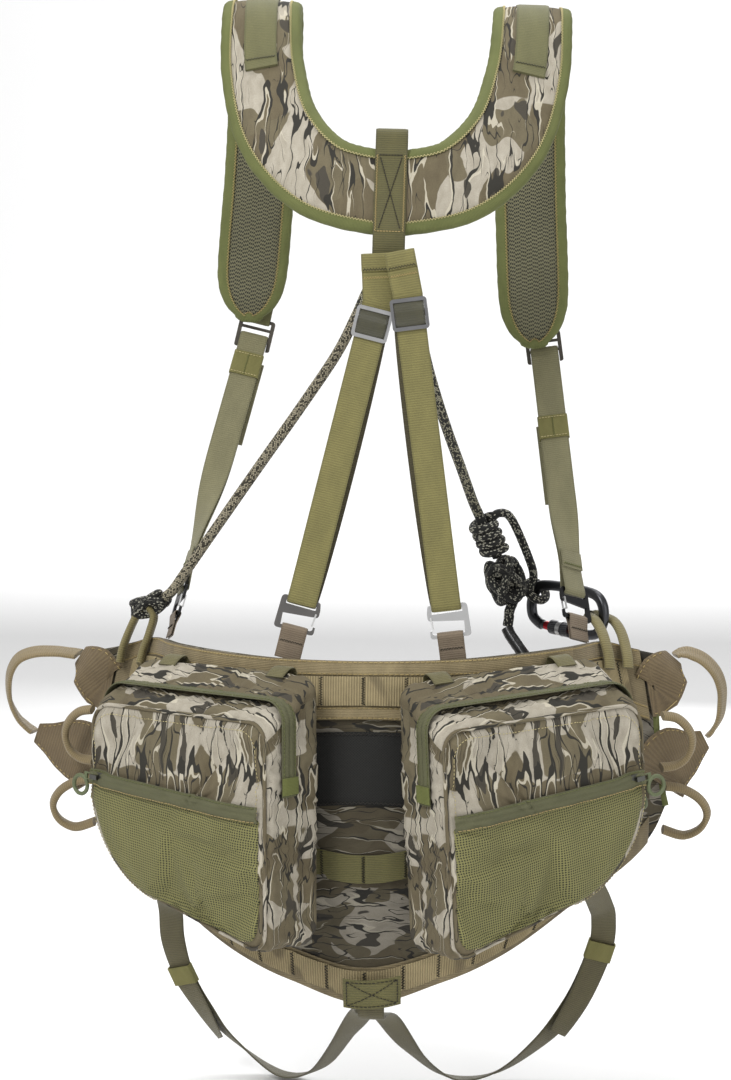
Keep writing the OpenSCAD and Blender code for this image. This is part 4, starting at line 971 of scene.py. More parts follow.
def make_front_strap(k):
    side = "left" if k == 0 else "right"
    place = along_line(FRONT_TOP[k], FRONT_LOW[k])
    length = float(np.linalg.norm(FRONT_LOW[k] - FRONT_TOP[k]))
    flat = FRONT_FLAT[k]
    low = length - 24

    def turn(z):
        share = min(1, max(0, (-z - flat + 2) / (low - flat + 4)))
        return FRONT_TURN[k] * (1 - math.cos(math.pi * share)) / 2

    tail = -KEEPER_AT[k] - (44 if k == 0 else 60)
    path = [(PLY + 0.4, tail), (PLY, -18), (1.6, -12)] + arc(0, 0, 2.9, 0, 180, 10) + [(-1.6, -12),
                                                                                       (-PLY, -20)]
    path += [(-PLY, -length + 24)] + arc(0, -length, 2.9, 180, 360, 10) + [(PLY, -length + 24),
                                                                           (PLY, tail - 4)]
    band = strap_in(place, resample(path), turn)
    obj = ribbon("front_strap_" + side, band, WEB_W, WEB_T, -WEB_T / 2, GREEN, step=None, life=0.12)
    end = resample([(2.9, -KEEPER_AT[k] + 4), (3.0, -KEEPER_AT[k] - 20), (3.6, tail + 4),
                    (4.2, tail - (30 if k == 0 else 12))], 3)
    ribbon("front_strap_tail_" + side, strap_in(place.then(t=(3.0 if k == 0 else -3.0, 0.4, 0)), end), WEB_W,
           WEB_T, -WEB_T / 2, GREEN,
                   step=None, life=0.3)
    fold = place.then(rot(z=FRONT_TURN[k]), (0, 0, 0))
    hem = resample([(-2.8, -low - 2), (-2.9, -low + 6), (-2.7, -low + 14)], 2)
    ribbon("front_strap_hem_" + side, strap_in(fold, hem), WEB_W + 0.2, WEB_T, -WEB_T / 2, GREEN, step=None,
           life=0.1)
    stitch("olive", lambda x, z: fold([x, -3.9, z]), (-11, -low + 1), (11, -low + 1), 2.4, wide=1.6)
    keeper = place.then(t=(0, 0, -KEEPER_AT[k]))
    ring = rounded_box(13.5, 3.1, 1.6)
    inner = rounded_box(12.8, 2.35, 1.2)
    obj2 = sleeve("strap_keeper_visual_" + side, keeper, inner, ring, 22, KEEPER, "strap_keeper_" + side)
    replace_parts(obj2, "strap_keeper_" + side)
    at = lambda x, z: keeper([x, -3.5, z])
    for z in (-9.2, 9.2):
        stitch("cream", at, (-12, z), (12, z), 2.8, r=0.3, body="strap_keeper_" + side)
    stitch("olive", at, (0, -10), (0, 10), 2.2, wide=1.0, r=0.32, body="strap_keeper_" + side)
    return obj


def rounded_box(w, h, r, n=3):
    out = []
    for cx, cy, start in ((w - r, h - r, 0), (-w + r, h - r, 90), (-w + r, -h + r, 180),
                          (w - r, -h + r, 270)):
        out += arc(cx, cy, r, start, start + 90, n)
    return out


def sleeve(name, place, inner, outer, length, material, body):
    """Flat ring of elastic round a strap."""
    rings = []
    stations = np.linspace(-length / 2, length / 2, 12)
    for z in stations:
        swell = 1 + 0.02 * math.cos(z * 0.6) * wobble(z, 1, 1)
        rings.append([place([x * swell, y, z]) for x, y in outer])
    for z in stations[::-1]:
        rings.append([place([x, y, z]) for x, y in inner])
    m, n = len(outer), len(rings)
    points = [p for ring in rings for p in ring]
    along = list(stations) + list(stations[::-1])
    girth = np.concatenate([[0], np.cumsum([math.dist(outer[i], outer[i - 1]) for i in range(1, m)])])
    uvs = [(girth[k], along[i]) for i in range(n) for k in range(m)]
    faces = []
    for i in range(n):
        q = (i + 1) % n
        for k in range(m):
            r = (k + 1) % m
            faces.append((i * m + k, i * m + r, q * m + r, q * m + k))
    return new_object(name, points, faces, uvs, material, body)


front_left = make_front_strap(0)
make_front_strap(1)
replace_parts(front_left, "front_straps")

HOOK_LOW = -24
TAB_LEN = (26, 24, 20, 21)
TAB_W = 22


def bar_tab(name, place, length, material, body="harness"):
    path = resample([(-1.0, -length), (-0.95, -9)] + arc(0, 0, 2.75, 180, 0, 10) + [(0.95, -9),
                                                                                    (1.0, -length)], 1.6)
    obj = ribbon(name, strap_in(place, path, normal_sign=-1), TAB_W, 1.3, -0.65, material, body=body,
                 step=None, cols=6, life=0.1)
    return obj


def hook_places(k):
    back = along_line(BACK_TOP[k], BACK_LOW[k]).then(t=(0, 0,
                                                        -float(np.linalg.norm(BACK_LOW[k] - BACK_TOP[k]))))
    front = along_line(FRONT_TOP[k], FRONT_LOW[k], FRONT_TURN[k]).then(
        t=(0, 0, -float(np.linalg.norm(FRONT_LOW[k] - FRONT_TOP[k]))))
    return back, front


first_tab = None
for k in (0, 1):
    sign = -1 if k == 0 else 1
    for label, place, length in zip(("back", "front"), hook_places(k), (TAB_LEN[k], TAB_LEN[2 + k])):
        name = "hook_tab_%s_%s" % (label, "left" if k == 0 else "right")
        tab = bar_tab(name, place.then(t=(sign * 0.5, 0, HOOK_LOW)), length, TAUPE)
        first_tab = first_tab or tab
        at = place.then(t=(sign * 0.5, 0, HOOK_LOW))
        stitch("dark", lambda x, z: at([x, -1.95, z]), (-9.5, -11), (9.5, -11), 2.4, wide=1.4, r=0.32)
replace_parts(first_tab, "hook_tabs")

first_tab = None
for k in (0, 1):
    d = FRONT_LOW[k] - FRONT_TOP[k]
    place = Place(rot(y=math.degrees(math.atan2(-d[0], -d[2]))),
                  FRONT_TOP[k]).then(t=(0, 0, 15.8)).then(np.diag([1.0, 1.0, -1.0]))
    tab = bar_tab("lock_tab_" + ("left" if k == 0 else "right"), place, 30, SHOULDER)
    first_tab = first_tab or tab
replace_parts(first_tab, "lock_tabs")

# ---------- seat ----------

RAIL_TOP = arr([[0, -150, -557], [70, -138, -556], [125, -107, -554], [165, -60, -554],
                [186, -12, -556], [204, 10, -560], [226, 16, -565], [246, 18, -569]])
RAIL_MID = arr([[0, -160, -690], [66, -144, -688], [120, -110, -685], [162, -72, -680],
                [198, -38, -672], [222, -14, -662], [238, -2, -652], [244, 4, -642]])
RAIL_LOW = arr([[0, -140, -847], [60, -130, -831], [99, -116, -817], [134, -97, -799],
                [176, -71, -771], [216, -41, -746], [240, -16, -722], [252, -4, -700]])


def rail_point(rail, s):
    u = min(abs(s), 0.9999) * 7
    i = int(u)
    f = u - i
    p = np.vstack([rail[1] * [-1, 1, 1], rail])
    at = lambda j: p[max(0, min(len(p) - 1, j))]
    a, b, c, d = at(i), at(i + 1), at(i + 2), at(i + 3)
    q = 0.5 * (2 * b + (c - a) * f + (2 * a - 5 * b + 4 * c - d) * f * f + (3 * b - a - 3 * c + d) * f ** 3)
    return q * [-1, 1, 1] if s < 0 else q


def seat_point(s, v):
    a, b, c = rail_point(RAIL_TOP, s), rail_point(RAIL_MID, s), rail_point(RAIL_LOW, s)
    return a * (1 - v) * (1 - 2 * v) + b * 4 * v * (1 - v) + c * v * (2 * v - 1)


def seat_drop(s):
    return float(np.linalg.norm(rail_point(RAIL_LOW, s) - rail_point(RAIL_TOP, s)))


def seat_normal(s, v):
    e = 0.02
    s0, s1, v0, v1 = max(-1, s - e), min(1, s + e), max(0, v - e), min(1, v + e)
    return unit(np.cross(seat_point(s, v1) - seat_point(s, v0), seat_point(s1, v) - seat_point(s0, v)))


def seat_v(s, at):
    return 1 + at / seat_drop(s) if at < 0 else at / seat_drop(s)


def rail_lengths(v):
    s = np.linspace(-1, 1, 161)
    p = arr([seat_point(x, v) for x in s])
    d = run_of(p)
    return s, d - d[80]


SEAT_TOP = rail_lengths(0.12)
SEAT_LOW = rail_lengths(0.95)


def seat_at(s, down, h):
    """Point at station s, down mm from the top edge or up from the bottom edge when negative."""
    v = seat_v(s, down) if down else 0.0
    return seat_point(s, v) + seat_normal(s, v) * h


def seat_sheet(name, s0, s1, top, bottom, low, high, cols, rows, material, rise=None, thin=0.4,
               table=SEAT_TOP, sharp=50):
    """Sheet on the seat; columns run from s0 to s1, rows down from top to bottom."""
    ss = np.linspace(s0, s1, cols + 1)
    uu = np.interp(ss, *table)
    up = np.empty((rows + 1, cols + 1, 3))
    down = np.empty_like(up)
    uv = np.empty((rows + 1, cols + 1, 2))
    for i, s in enumerate(ss):
        v0 = seat_v(s, top) if top else 0.0
        v1 = seat_v(s, bottom) if bottom else 1.0
        d = seat_drop(s)
        for j in range(rows + 1):
            v = v0 + (v1 - v0) * j / rows
            base, n = seat_point(s, v), seat_normal(s, v)
            edge = 0.42 if j in (0, rows) or i in (0, cols) else 1.0
            mid = (low + high) / 2 + (rise(uu[i], v * d, s, v) if rise else 0)
            t = (high - low) / 2 * edge
            up[j, i] = base + n * (mid + t)
            down[j, i] = base + n * (mid - t)
            uv[j, i] = (uu[i], -v * d)
    return slab(name, up, down, uv, material, sharp=sharp)


def panel_rise(u, d, s, v):
    """Creases of the seat's outer cloth: long sideways folds in the slack lower middle."""
    drop = seat_drop(s)
    free = max(0, min(1, (d - 132) / 26)) * max(0, min(1, (drop - 34 - d) / 26))
    centre = math.exp(-(u / 110) ** 2)
    fold = wobble(u * 0.012, d * 0.085 + 0.5 * math.sin(u * 0.02), 2.2) + 0.5 * wobble(u * 0.02, d * 0.19,
                                                                                       8.1)
    upper = math.exp(-((d - 64) / 7) ** 2) * 0.9 * wobble(u * 0.03, d * 0.1, 4)
    return free * (0.6 + 5.5 * centre * max(-0.25, fold)) + upper + 0.3 * wobble(u * 0.03, d * 0.03, 1)


def make_seat():
    panel = seat_sheet("seat_panel_visual", -1, 1, 0, 0, 1.9, 4, 150, 96, CAMO_DARK, rise=panel_rise,
                       table=SEAT_TOP, sharp=80)
    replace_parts(panel, "seat_panel")
    lining = seat_sheet("seat_lining_visual", -0.998, 0.998, 0, 0, 0, 1.6, 100, 40, SEAT_MESH,
                        rise=lambda u, d, s, v: 0.25 * wobble(u * 0.02, d * 0.02, 6))
    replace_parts(lining, "seat_lining")
    window = seat_sheet("seat_window_visual", -0.1875, 0.1875, 66, 130, 4.9, 5.9, 30, 14, BLACK_MESH,
                        rise=lambda u, d, s, v: 0.7 * wobble(u * 0.03, d * 0.04, 9))
    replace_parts(window, "seat_window")
    for d in (68, 128):
        stitch("dark", lambda s, x: seat_at(s / 400, x, 6.7), (-0.18 * 400, d), (0.18 * 400, d), 3.0,
               wide=1.4)
    belt = seat_sheet("top_belt_visual", -0.875, 0.875, 0, 55, 5.6, 7.5, 150, 10, BROWN,
                      rise=lambda u, d, s, v: 0.25 * wobble(u * 0.02, d * 0.05, 3))
    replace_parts(belt, "top_belt")
    for d0, d1, nm in ((0.4, 14.2, "upper"), (43, 54.6, "lower")):
        seat_sheet("top_belt_twill_" + nm, -0.872, 0.872, d0, d1, 7.3, 8.3, 120, 4, TWILL)
        for d in (d0 + 1.3, d1 - 1.3):
            stitch("tan", lambda s, x: seat_at(s / 400, x, 8.75), (-0.86 * 400, d), (0.86 * 400, d), 3.3,
                   r=0.34)
    cell = 34.0

    def cells(u, d, s, v):
        return 1.7 * abs(math.sin(math.pi * u / cell)) ** 0.55 + 0.2 * wobble(u * 0.05, d * 0.1, 5) - 0.2

    row = seat_sheet("molle_row_top", -0.75, 0.75, 15, 42, 8.3, 9.5, 210, 8, MOLLE, rise=cells)
    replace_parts(row, "molle_rows")
    s_of = lambda u, table: float(np.interp(u, table[1], table[0]))
    reach = float(np.interp(0.75, *SEAT_TOP))
    for n in range(-int(reach / cell), int(reach / cell) + 1):
        s = s_of(n * cell, SEAT_TOP)
        stitch("dark", lambda a, x: seat_at(s_of(a, SEAT_TOP), x, 9.95), (n * cell, 16), (n * cell, 41), 2.2,
               wide=2.6, r=0.55)
    hem = seat_sheet("bottom_belt_visual", -0.8125, 0.8125, -28, 0, 4.6, 6.4, 140, 7, BROWN, table=SEAT_LOW,
                     rise=lambda u, d, s, v: 0.25 * wobble(u * 0.02, d * 0.05, 13))
    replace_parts(hem, "bottom_belt")
    cell = 31.0
    seat_sheet("molle_row_bottom", -0.6875, 0.6875, -26, -6, 6.8, 8, 200, 7, MOLLE, rise=cells,
               table=SEAT_LOW)
    reach = float(np.interp(0.6875, *SEAT_LOW))
    for n in range(-int(reach / cell), int(reach / cell) + 1):
        stitch("dark", lambda a, x: seat_at(s_of(a, SEAT_LOW), x, 8.45), (n * cell, -25), (n * cell, -7), 2.2,
               wide=2.4, r=0.52)
    seat_sheet("molle_row_centre", -0.125, 0.125, -118, -95, 4.9, 6.3, 26, 6, STRAP_WIDE,
                       rise=lambda u, d, s, v: 1.0 * abs(math.sin(math.pi * u / 36)) ** 0.6)
    for u in (-36, 0, 36):
        stitch("dark", lambda a, x: seat_at(s_of(a, SEAT_TOP), x, 6.9), (u, -117), (u, -96), 2.2, wide=2.4,
               r=0.5)
    patch = seat_sheet("centre_patch_visual", -0.032, 0.06, -24, -2, 21, 22.4, 12, 10, STRAP_WIDE,
                       table=SEAT_LOW)
    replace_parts(patch, "centre_patch")
    a, b = -0.026 * 400, 0.054 * 400
    face = lambda s, x: seat_at(s / 400, x, 22.8)
    for u0, d0, u1, d1 in ((a, -22, b, -22), (a, -4, b, -4), (a, -22, a, -4), (b, -22, b, -4),
                           (a, -22, b, -4), (a, -4, b, -22)):
        stitch("dark", face, (u0, d0), (u1, d1), 2.6, r=0.36)
    for s in (-1, 1):
        side = [seat_point(s * 0.997, v) for v in np.linspace(0, 1, 50)]
        normal = [seat_normal(s * 0.997, v) for v in np.linspace(0, 1, 50)]
        tube("seat_edge_" + ("left" if s < 0 else "right"), Band(arr(side) + arr(normal) * 2.3, normal), 7,
             6.6, BINDING,
                    sides=12, step=5, shape=lambda a, v: 1 + 0.03 * math.sin(v * 0.8))




make_seat()

# ---------- side wings and loops ----------

WING_S = (0.9, 0.93, 0.96, 0.99)


def make_wing(name, side, v, ends, widths):
    route = [seat_point(side * s, v) + seat_normal(side * s,
                                                   v) * 6.8 for s in WING_S] + [arr(e) for e in ends]
    normals = [seat_normal(side * s, v) for s in WING_S] + [seat_normal(side * 0.99, v)] * len(ends)
    band = Band(smooth(route, 6), smooth(normals, 6))
    obj = ribbon(name, band, widths, 2.4, -1.2, WING, step=3, cols=10, life=0.3)
    w = lambda x: float(np.interp(x, np.linspace(0, band.length, len(widths)), widths)) / 2
    for edge in (-1, 1):
        pts = [band.at(edge * (w(x) - 2.6), x, 1.6) for x in np.arange(2, band.length - 4, 2.4)]
        for i in range(0, len(pts) - 1, 2):
            thread("tan", pts[i:i + 2], 0.36)
    return obj


wing = make_wing("side_wing_upper_left", -1, 0.2, [[-258, 8, -582], [-268, 19, -575]],
                 [46, 46, 45, 43, 30, 19])
make_wing("side_wing_upper_right", 1, 0.2, [[254, 7, -580], [259.5, 19, -572]], [46, 46, 45, 43, 30, 19])
make_wing("side_wing_lower_left", -1, 0.72, [[-262, 1, -661], [-288, 14, -653], [-309, 23, -646]],
          [60, 60, 58, 54, 44, 29, 18])
make_wing("side_wing_lower_right", 1, 0.72, [[258, 1, -660], [274, 14, -653], [288, 23, -645]],
          [60, 60, 58, 54, 44, 29, 18])
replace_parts(wing, "side_wings")

LINEMAN_LEFT = [
    [-270.5, 20, -574], [-280, 22, -573], [-293, 23, -572], [-311, 25, -573], [-326, 27, -579],
    [-334, 28, -591], [-336, 28, -605], [-334, 28, -619], [-327, 26, -632], [-319, 25, -640],
    [-312, 24, -645]]
LINEMAN_RIGHT = [
    [261.5, 20, -570], [266, 21, -568], [274, 22.5, -568], [287, 25, -574], [298, 27, -586],
    [303, 28, -600], [303, 28, -614], [301, 27, -626], [296, 26, -636], [290.5, 24.5, -642.5]]
first = None
for points, side in ((LINEMAN_LEFT, -1), (LINEMAN_RIGHT, 1)):
    route = smooth(points, 6)
    t = unit(np.gradient(route, axis=0))
    band = Band(route, np.cross(t, [0.3 * side, 1, 0.25]))
    obj = ribbon("lineman_loop_" + ("left" if side < 0 else "right"), band, 22, 4, -2, LOOP, step=3, cols=8,
                 life=0.3,
                 rise=lambda u, v: -0.35 * math.exp(-(u / 2.2) ** 2))
    first = first or obj
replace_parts(first, "lineman_loops")


def crease_tube(a, v):
    """Flattened tubular webbing with a crease down its middle."""
    return 1 - 0.16 * math.exp(-((abs(math.sin(a)) - 1) / 0.13) ** 2) + 0.02 * wobble(a, v * 0.1, 2)


def loop_tube(name, points, facing, material, steps=6):
    route = smooth(points, steps)
    t = unit(np.gradient(route, axis=0))
    return tube(name, Band(route, np.cross(t, facing)), 11, 7, material, sides=20, step=2.5,
                shape=crease_tube)


loop = loop_tube("bridge_loop_left_visual", [[-229, -4, -578], [-227, -2, -566], [-221, 0, -550],
                                             [-214, 0, -536],
                                             [-206, 0, -529], [-199, -1, -536], [-202, -7, -551],
                                             [-207, -12, -566],
                                             [-209, -18, -578]], [0.25, 1, 0], LOOP_GREEN)
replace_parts(loop, "bridge_loop_left")
loop = loop_tube("bridge_loop_right_visual", [[220, -8, -578], [219, -3, -567], [214.5, 12, -551],
                                              [208, 23, -541],
                                              [199, 28, -537], [191.5, 23.5, -535.5], [186, 17, -535.5],
                                              [191, 6.5, -538],
                                              [196.5, -6, -546], [200, -15, -555], [203, -20, -566],
                                              [204, -24, -577]],
                 [0.707, 0.707, 0], LOOP_GREEN)
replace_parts(loop, "bridge_loop_right")
GEAR = {
    "upper": [[250, -28, -617], [263, -23, -620], [273, -21, -630], [276, -20, -642], [272, -20, -654],
              [262, -23, -661],
              [249, -29, -662]],
    "lower": [[253, -14, -681], [268, -10, -684], [283, -7, -693], [290, -6, -706], [284, -7, -719],
              [269, -10, -725],
              [251, -15, -719]]}
first = None
for m, side in ((-1, "left"), (1, "right")):
    for level, points in GEAR.items():
        obj = loop_tube("gear_loop_%s_%s" % (level, side), arr(points) * [m, 1, 1], [0.3 * m, 1, 0.35], LOOP)
        first = first or obj
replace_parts(first, "accessory_loops")

# ---------- leg loops and waist belt ----------

LEG_LEFT = [
    [-179, -52, -748], [-184, -42, -766], [-186, -14, -789], [-186, 4, -804], [-186, 18, -832],
    [-178, 28, -865],
    [-160, 33, -895], [-133, 33, -926], [-90, 28, -955], [-54, 2, -943], [-27, -48, -902],
    [-9, -92, -871], [0, -132, -856], [3, -147, -855], [3, -153.6, -846], [3, -155.4, -828]]
LEG_RIGHT = [
    [181, -52, -748], [190, -42, -766], [197, -14, -787], [200, 4, -803], [197, 18, -833], [176, 28, -882],
    [144, 33, -922], [104, 28, -950], [64, 2, -948], [35, -46, -914],
    [15, -92, -873], [8, -132, -860], [6, -150, -859], [6, -156.8, -847], [6, -158.4, -828]]
LEG_LEFT_UP = [
    [0.66, 0.75, 0], [0.5, 1, 0.2], [0.3, 1, 0.5], [0.1, 1, 0.4], [0.1, 1, 0.2], [0.5, 1, 0], [0.8, 0.9, 0.4],
    [0.8, 0.4, 0.8], [0.3, 0, 1], [-0.2, 0, 1], [-0.4, 0.5, 0.8], [0, 1, 1.6], [0, 0.2, 1], [0, 0, 1],
    [0, 1, 0.6], [0, 1, 0]]
LEG_RIGHT_UP = [
    [-0.66, 0.75, 0], [-0.5, 1, 0.2], [-0.3, 1, 0.5], [-0.1, 1, 0.4], [-0.1, 1, 0.2], [-0.5, 1, 0],
    [-0.8, 0.7, 0.5], [-0.5, 0.2, 0.9], [0.1, 0, 1], [0.3, 0.3, 0.9], [0, 1, 1.6], [0, 0.2, 1], [0, 0, 1],
    [0, 1, 0.6], [0, 1, 0]]
leg_left = Band(smooth(LEG_LEFT, 8), smooth(LEG_LEFT_UP, 8))
leg_right = Band(smooth(LEG_RIGHT, 8), smooth(LEG_RIGHT_UP, 8))
obj = ribbon("leg_loop_left", leg_left, 22, 2, -1, LEG, step=4, life=0.5)
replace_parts(obj, "leg_loops")
obj = ribbon("leg_loop_right", leg_right, 22, 2, -1, LEG, step=4, life=0.5)


def leg_extra(name, band, v0, v1, width, thick, lift, material, curl=0.0):
    part = piece_of(band, v0, v1)
    obj = ribbon(name, part, width, thick, lift, material, step=2, life=0.4,
                 rise=lambda u, v: curl * (v / max(part.length, 1)) ** 2)
    return obj


for band, label, start, end in ((leg_left, "left", 150, 215), (leg_right, "right", 120, 205)):
    leg_extra("leg_tail_" + label, band, start, end, 22, 1.5, -2.9, LEG, curl=-5.0)
    ring = piece_of(band, start - 12, start + 8)
    mid = len(ring.p) // 2
    place = Place(np.column_stack([ring.s[mid], ring.n[mid], ring.t[mid]]), ring.p[mid] - ring.n[mid] * 0.9)
    obj = sleeve("leg_keeper_" + label, place, rounded_box(11.4, 2.6, 1.3), rounded_box(12.3, 3.5, 1.8), 18,
                 KEEPER, "harness")


def make_waist():
    left = smooth([[-200, 26, -592], [-182, 62, -602], [-140, 96, -614], [-84, 112, -622], [-56, 114, -625],
                   [-34, 114, -626]], 8)
    first = None
    for m, label in ((1, "left"), (-1, "right")):
        band = Band(left * [m, 1, 1], [[-0.2 * m, 1, 0]] * len(left))
        obj = ribbon("waist_belt_" + label, band, 38, 2.2, -1.1, BELT, step=4, cols=10, life=0.4)
        first = first or obj
        fold = piece_of(band, band.length - 8, band.length - 60)
        ribbon("waist_tail_" + label, fold, 38, 1.6, 1.4 if m > 0 else -3.0, BELT, step=3, cols=10, life=0.3)
        h = 1.55 if m > 0 else -1.55
        stitch("dark", lambda u, v: band.at(u, v, -h), (-17, band.length - 12), (17, band.length - 12), 2.4,
               wide=1.8)
    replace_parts(first, "waist_belts")


make_waist()

# ---------- pouches ----------

POUCH_HALF, POUCH_D, POUCH_TOP, POUCH_Z, TOP_SLOPE, ZIP_Y = 101.0, 66.0, -563.0, -690.0, 0.5, -40.0


def pouch_place(side):
    flip = np.diag([1.0 if side > 0 else -1.0, 1.0, 1.0])
    turn = rot(y=-3 if side > 0 else 0, z=36)
    return Place(flip @ turn, flip @ arr([115.9, -127.4, POUCH_Z]))


def pouch_outline(inset, drop, fine=1):
    h, t, b = POUCH_HALF - inset, POUCH_TOP - POUCH_Z - drop - inset, -97 + inset
    pts = (arc(-h + 16, t - 16, 16, 180, 90, 6) + arc(h - 20, t - 20, 20, 90, 0, 6) + [(h, 40)]
           + arc(h - 96, 28, 96, -5, -74, 14) + arc(-h + 14, b + 14, 14, 270, 180, 6) + [(-h, 20)])
    return resample_loop(pts, 160)


def resample_loop(points, count):
    p = arr(list(points) + [points[0]])
    d = run_of(p)
    v = np.linspace(0, d[-1], count + 1)[:-1]
    return arr([np.interp(v, d, p[:, 0]), np.interp(v, d, p[:, 1])]).T


def pouch_points(side):
    """Rings from the back seam round the gusset to the front seam, then shrinking rings over each face."""
    rows = [(0, 7), (0.6, 3.5), (2, 2), (5, 0.7), (9, 0)] + [(y, 0) for y in range(14, 56, 5)] + [
        (58, 0.4), (61.5, 1.2), (64, 3.0), (65.6, 5.6)]
    rings = [[(p[0], -y, p[1]) for p in pouch_outline(inset, TOP_SLOPE * y)] for y, inset in rows]
    front = arr(rings[-1])
    centre = arr([-4, -POUCH_D, (front[:, 2].max() + front[:, 2].min()) / 2])
    for k in range(1, 22):
        share = 1 - k / 22
        ring = centre + (front - centre) * share
        ring[:, 1] = -POUCH_D + 0.3 * share
        rings.append(ring)
    back = arr(rings[0])
    middle = arr([0, 0.0, back[:, 2].mean()])
    lower = [middle + (back - middle) * (1 - k / 9) for k in range(1, 9)]
    return [arr(r) for r in lower[::-1] + rings], len(lower), len(rows), centre, middle


def make_pouch(side):
    label = "right" if side > 0 else "left"
    place = pouch_place(side)
    rings, n_back, n_rows, centre, middle = pouch_points(side)
    m = 160
    seam = n_back + n_rows - 2
    points = np.concatenate([arr(r) for r in rings] + [[middle], [centre]])
    faces, uv = [], []
    round_ring = arr(rings[n_back + 5])
    girth = np.concatenate([[0], np.cumsum(np.linalg.norm(np.roll(round_ring, -1, 0) - round_ring, axis=1))])
    n = len(rings)

    def corner(i, k):
        if i == "a":
            return len(points) - 2
        if i == "b":
            return len(points) - 1
        return i * m + k % m

    def add(face, region):
        faces.append(tuple(corner(i, k) for i, k in face))
        for i, k in face:
            p = points[corner(i, k)]
            if region == "face":
                uv.append((p[0], p[2]))
            else:
                uv.append((-p[1] + 300, girth[k % m] if k < m else girth[m]))

    for i in range(n - 1):
        region = "gusset" if n_back <= i < seam else "face"
        for k in range(m):
            add([(i, k), (i + 1, k), (i + 1, k + 1), (i, k + 1)], region)
    for k in range(m):
        add([("a", 0), (0, k), (0, k + 1)], "face")
        add([(n - 1, k + 1), (n - 1, k), ("b", 0)], "face")
    mesh = bpy.data.meshes.new("pouch_%s_visual" % label)
    mesh.from_pydata([tuple(p) for p in points * MM], [], faces)
    layer = mesh.uv_layers.new(name="UVMap")
    layer.data.foreach_set("uv", (arr(uv) * MM).ravel())
    mesh.materials.append(CAMO)
    obj = bpy.data.objects.new("pouch_%s_visual" % label, mesh)
    scene.collection.objects.link(obj)
    rest = points.copy()
    pinned = {}
    zip_rows = [i for i in range(n_back, seam + 1) if 28 <= -rings[i][0][1] <= 52]
    for i in range(n):
        for k in range(m):
            if i < n_back + 3 or i in (seam, seam + 1):
                pinned[i * m + k] = 1.0
            elif i in zip_rows:
                pinned[i * m + k] = 0.8
    pinned[len(points) - 2] = 1.0
    simulate(obj, pinned, 3.2, -0.07)
    moved = arr([v.co for v in obj.data.vertices]) / MM
    shift = moved - rest
    size = np.linalg.norm(shift, axis=1, keepdims=True)
    shift *= np.minimum(1, 7.5 / np.maximum(size, 1e-6))
    for i in range(len(points)):
        ring, k = divmod(i, m)
        p = rest[i]
        if ring > seam + 1 or i == len(points) - 1:
            share = min(1.0, (ring - seam - 1) / 6) if i < len(points) - 1 else 1.0
            creases = 1.5 * wobble(p[0] * 0.045, p[2] * 0.018, 3.3 * side) + 0.8 * wobble(p[0] * 0.1,
                                                                                          p[2] * 0.03,
                                                                                          9.1 * side)
            shift[i] += np.array([0, -1, 0]) * creases * share
        elif n_back + 3 < ring < seam and ring not in zip_rows:
            out = unit([p[0], 0, p[2]])
            shift[i] += out * (0.5 * wobble(girth[k] * 0.035, p[1] * 0.08, 5 * side) - 0.2)
    final = rest + shift
    obj.data.vertices.foreach_set("co", (place(final) * MM).ravel())
    if side < 0:
        obj.data.flip_normals()
    obj.data.polygons.foreach_set("use_smooth", [True] * len(obj.data.polygons))
    obj.data.update()
    obj.data.set_sharp_from_angle(angle=math.radians(80))
    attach(obj, "harness")
    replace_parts(obj, "pouch_" + label)
    local = BVHTree.FromPolygons([tuple(p) for p in final], [tuple(f.vertices) for f in obj.data.polygons])
    return obj, place, local, rings, n_back, seam, final


def simulate(obj, pinned, pressure, shrink):
    """Puffs the cloth between its seams."""
    group = obj.vertex_groups.new(name="pin")
    for i, w in pinned.items():
        group.add([i], w, "REPLACE")
    cloth = obj.modifiers.new("cloth", "CLOTH")
    s = cloth.settings
    s.quality = 5
    s.mass = 0.2
    s.tension_stiffness = s.compression_stiffness = 25
    s.shear_stiffness = 8
    s.bending_stiffness = 0.35
    s.use_pressure = True
    s.uniform_pressure_force = pressure
    s.shrink_min = shrink
    s.vertex_group_mass = "pin"
    s.effector_weights.gravity = 0
    cloth.collision_settings.use_collision = False
    cloth.collision_settings.use_self_collision = False
    cloth.point_cache.frame_start, cloth.point_cache.frame_end = 1, 20
    for f in range(1, 21):
        scene.frame_set(f)
    depsgraph = bpy.context.evaluated_depsgraph_get()
    done = obj.evaluated_get(depsgraph).to_mesh()
    co = np.empty(len(done.vertices) * 3)
    done.vertices.foreach_get("co", co)
    obj.evaluated_get(depsgraph).to_mesh_clear()
    obj.modifiers.remove(cloth)
    obj.vertex_groups.clear()
    obj.data.vertices.foreach_set("co", co)
    obj.data.update()
    scene.frame_set(1)


POUCHES = {side: make_pouch(side) for side in (-1, 1)}


def front_of(side, x, z, lift=0.0):
    """Point on the stuffed front of a pouch, in the pouch's own frame."""
    hit = POUCHES[side][2].ray_cast(Vector((x, -120, z)), Vector((0, 1, 0)))
    y = hit[0].y if hit[0] is not None and hit[0].y < -55 else -POUCH_D + 1
    return arr([x, min(y, -POUCH_D + 2.5) - lift, z])


def pocket_edge(x):
    return 37 + (x + POUCH_HALF) * 0.07 - 20


def panel_width(z):
    """Left and right limits of the front face at a height."""
    outline = pouch_outline(8, TOP_SLOPE * POUCH_D)
    pts = np.vstack([outline, outline[:1]])
    xs = []
    for a, b in zip(pts[:-1], pts[1:]):
        if (a[1] - z) * (b[1] - z) <= 0 and abs(a[1] - b[1]) > 1e-9:
            xs.append(a[0] + (b[0] - a[0]) * (z - a[1]) / (b[1] - a[1]))
    return (min(xs), max(xs)) if len(xs) > 1 else (-20, 20)


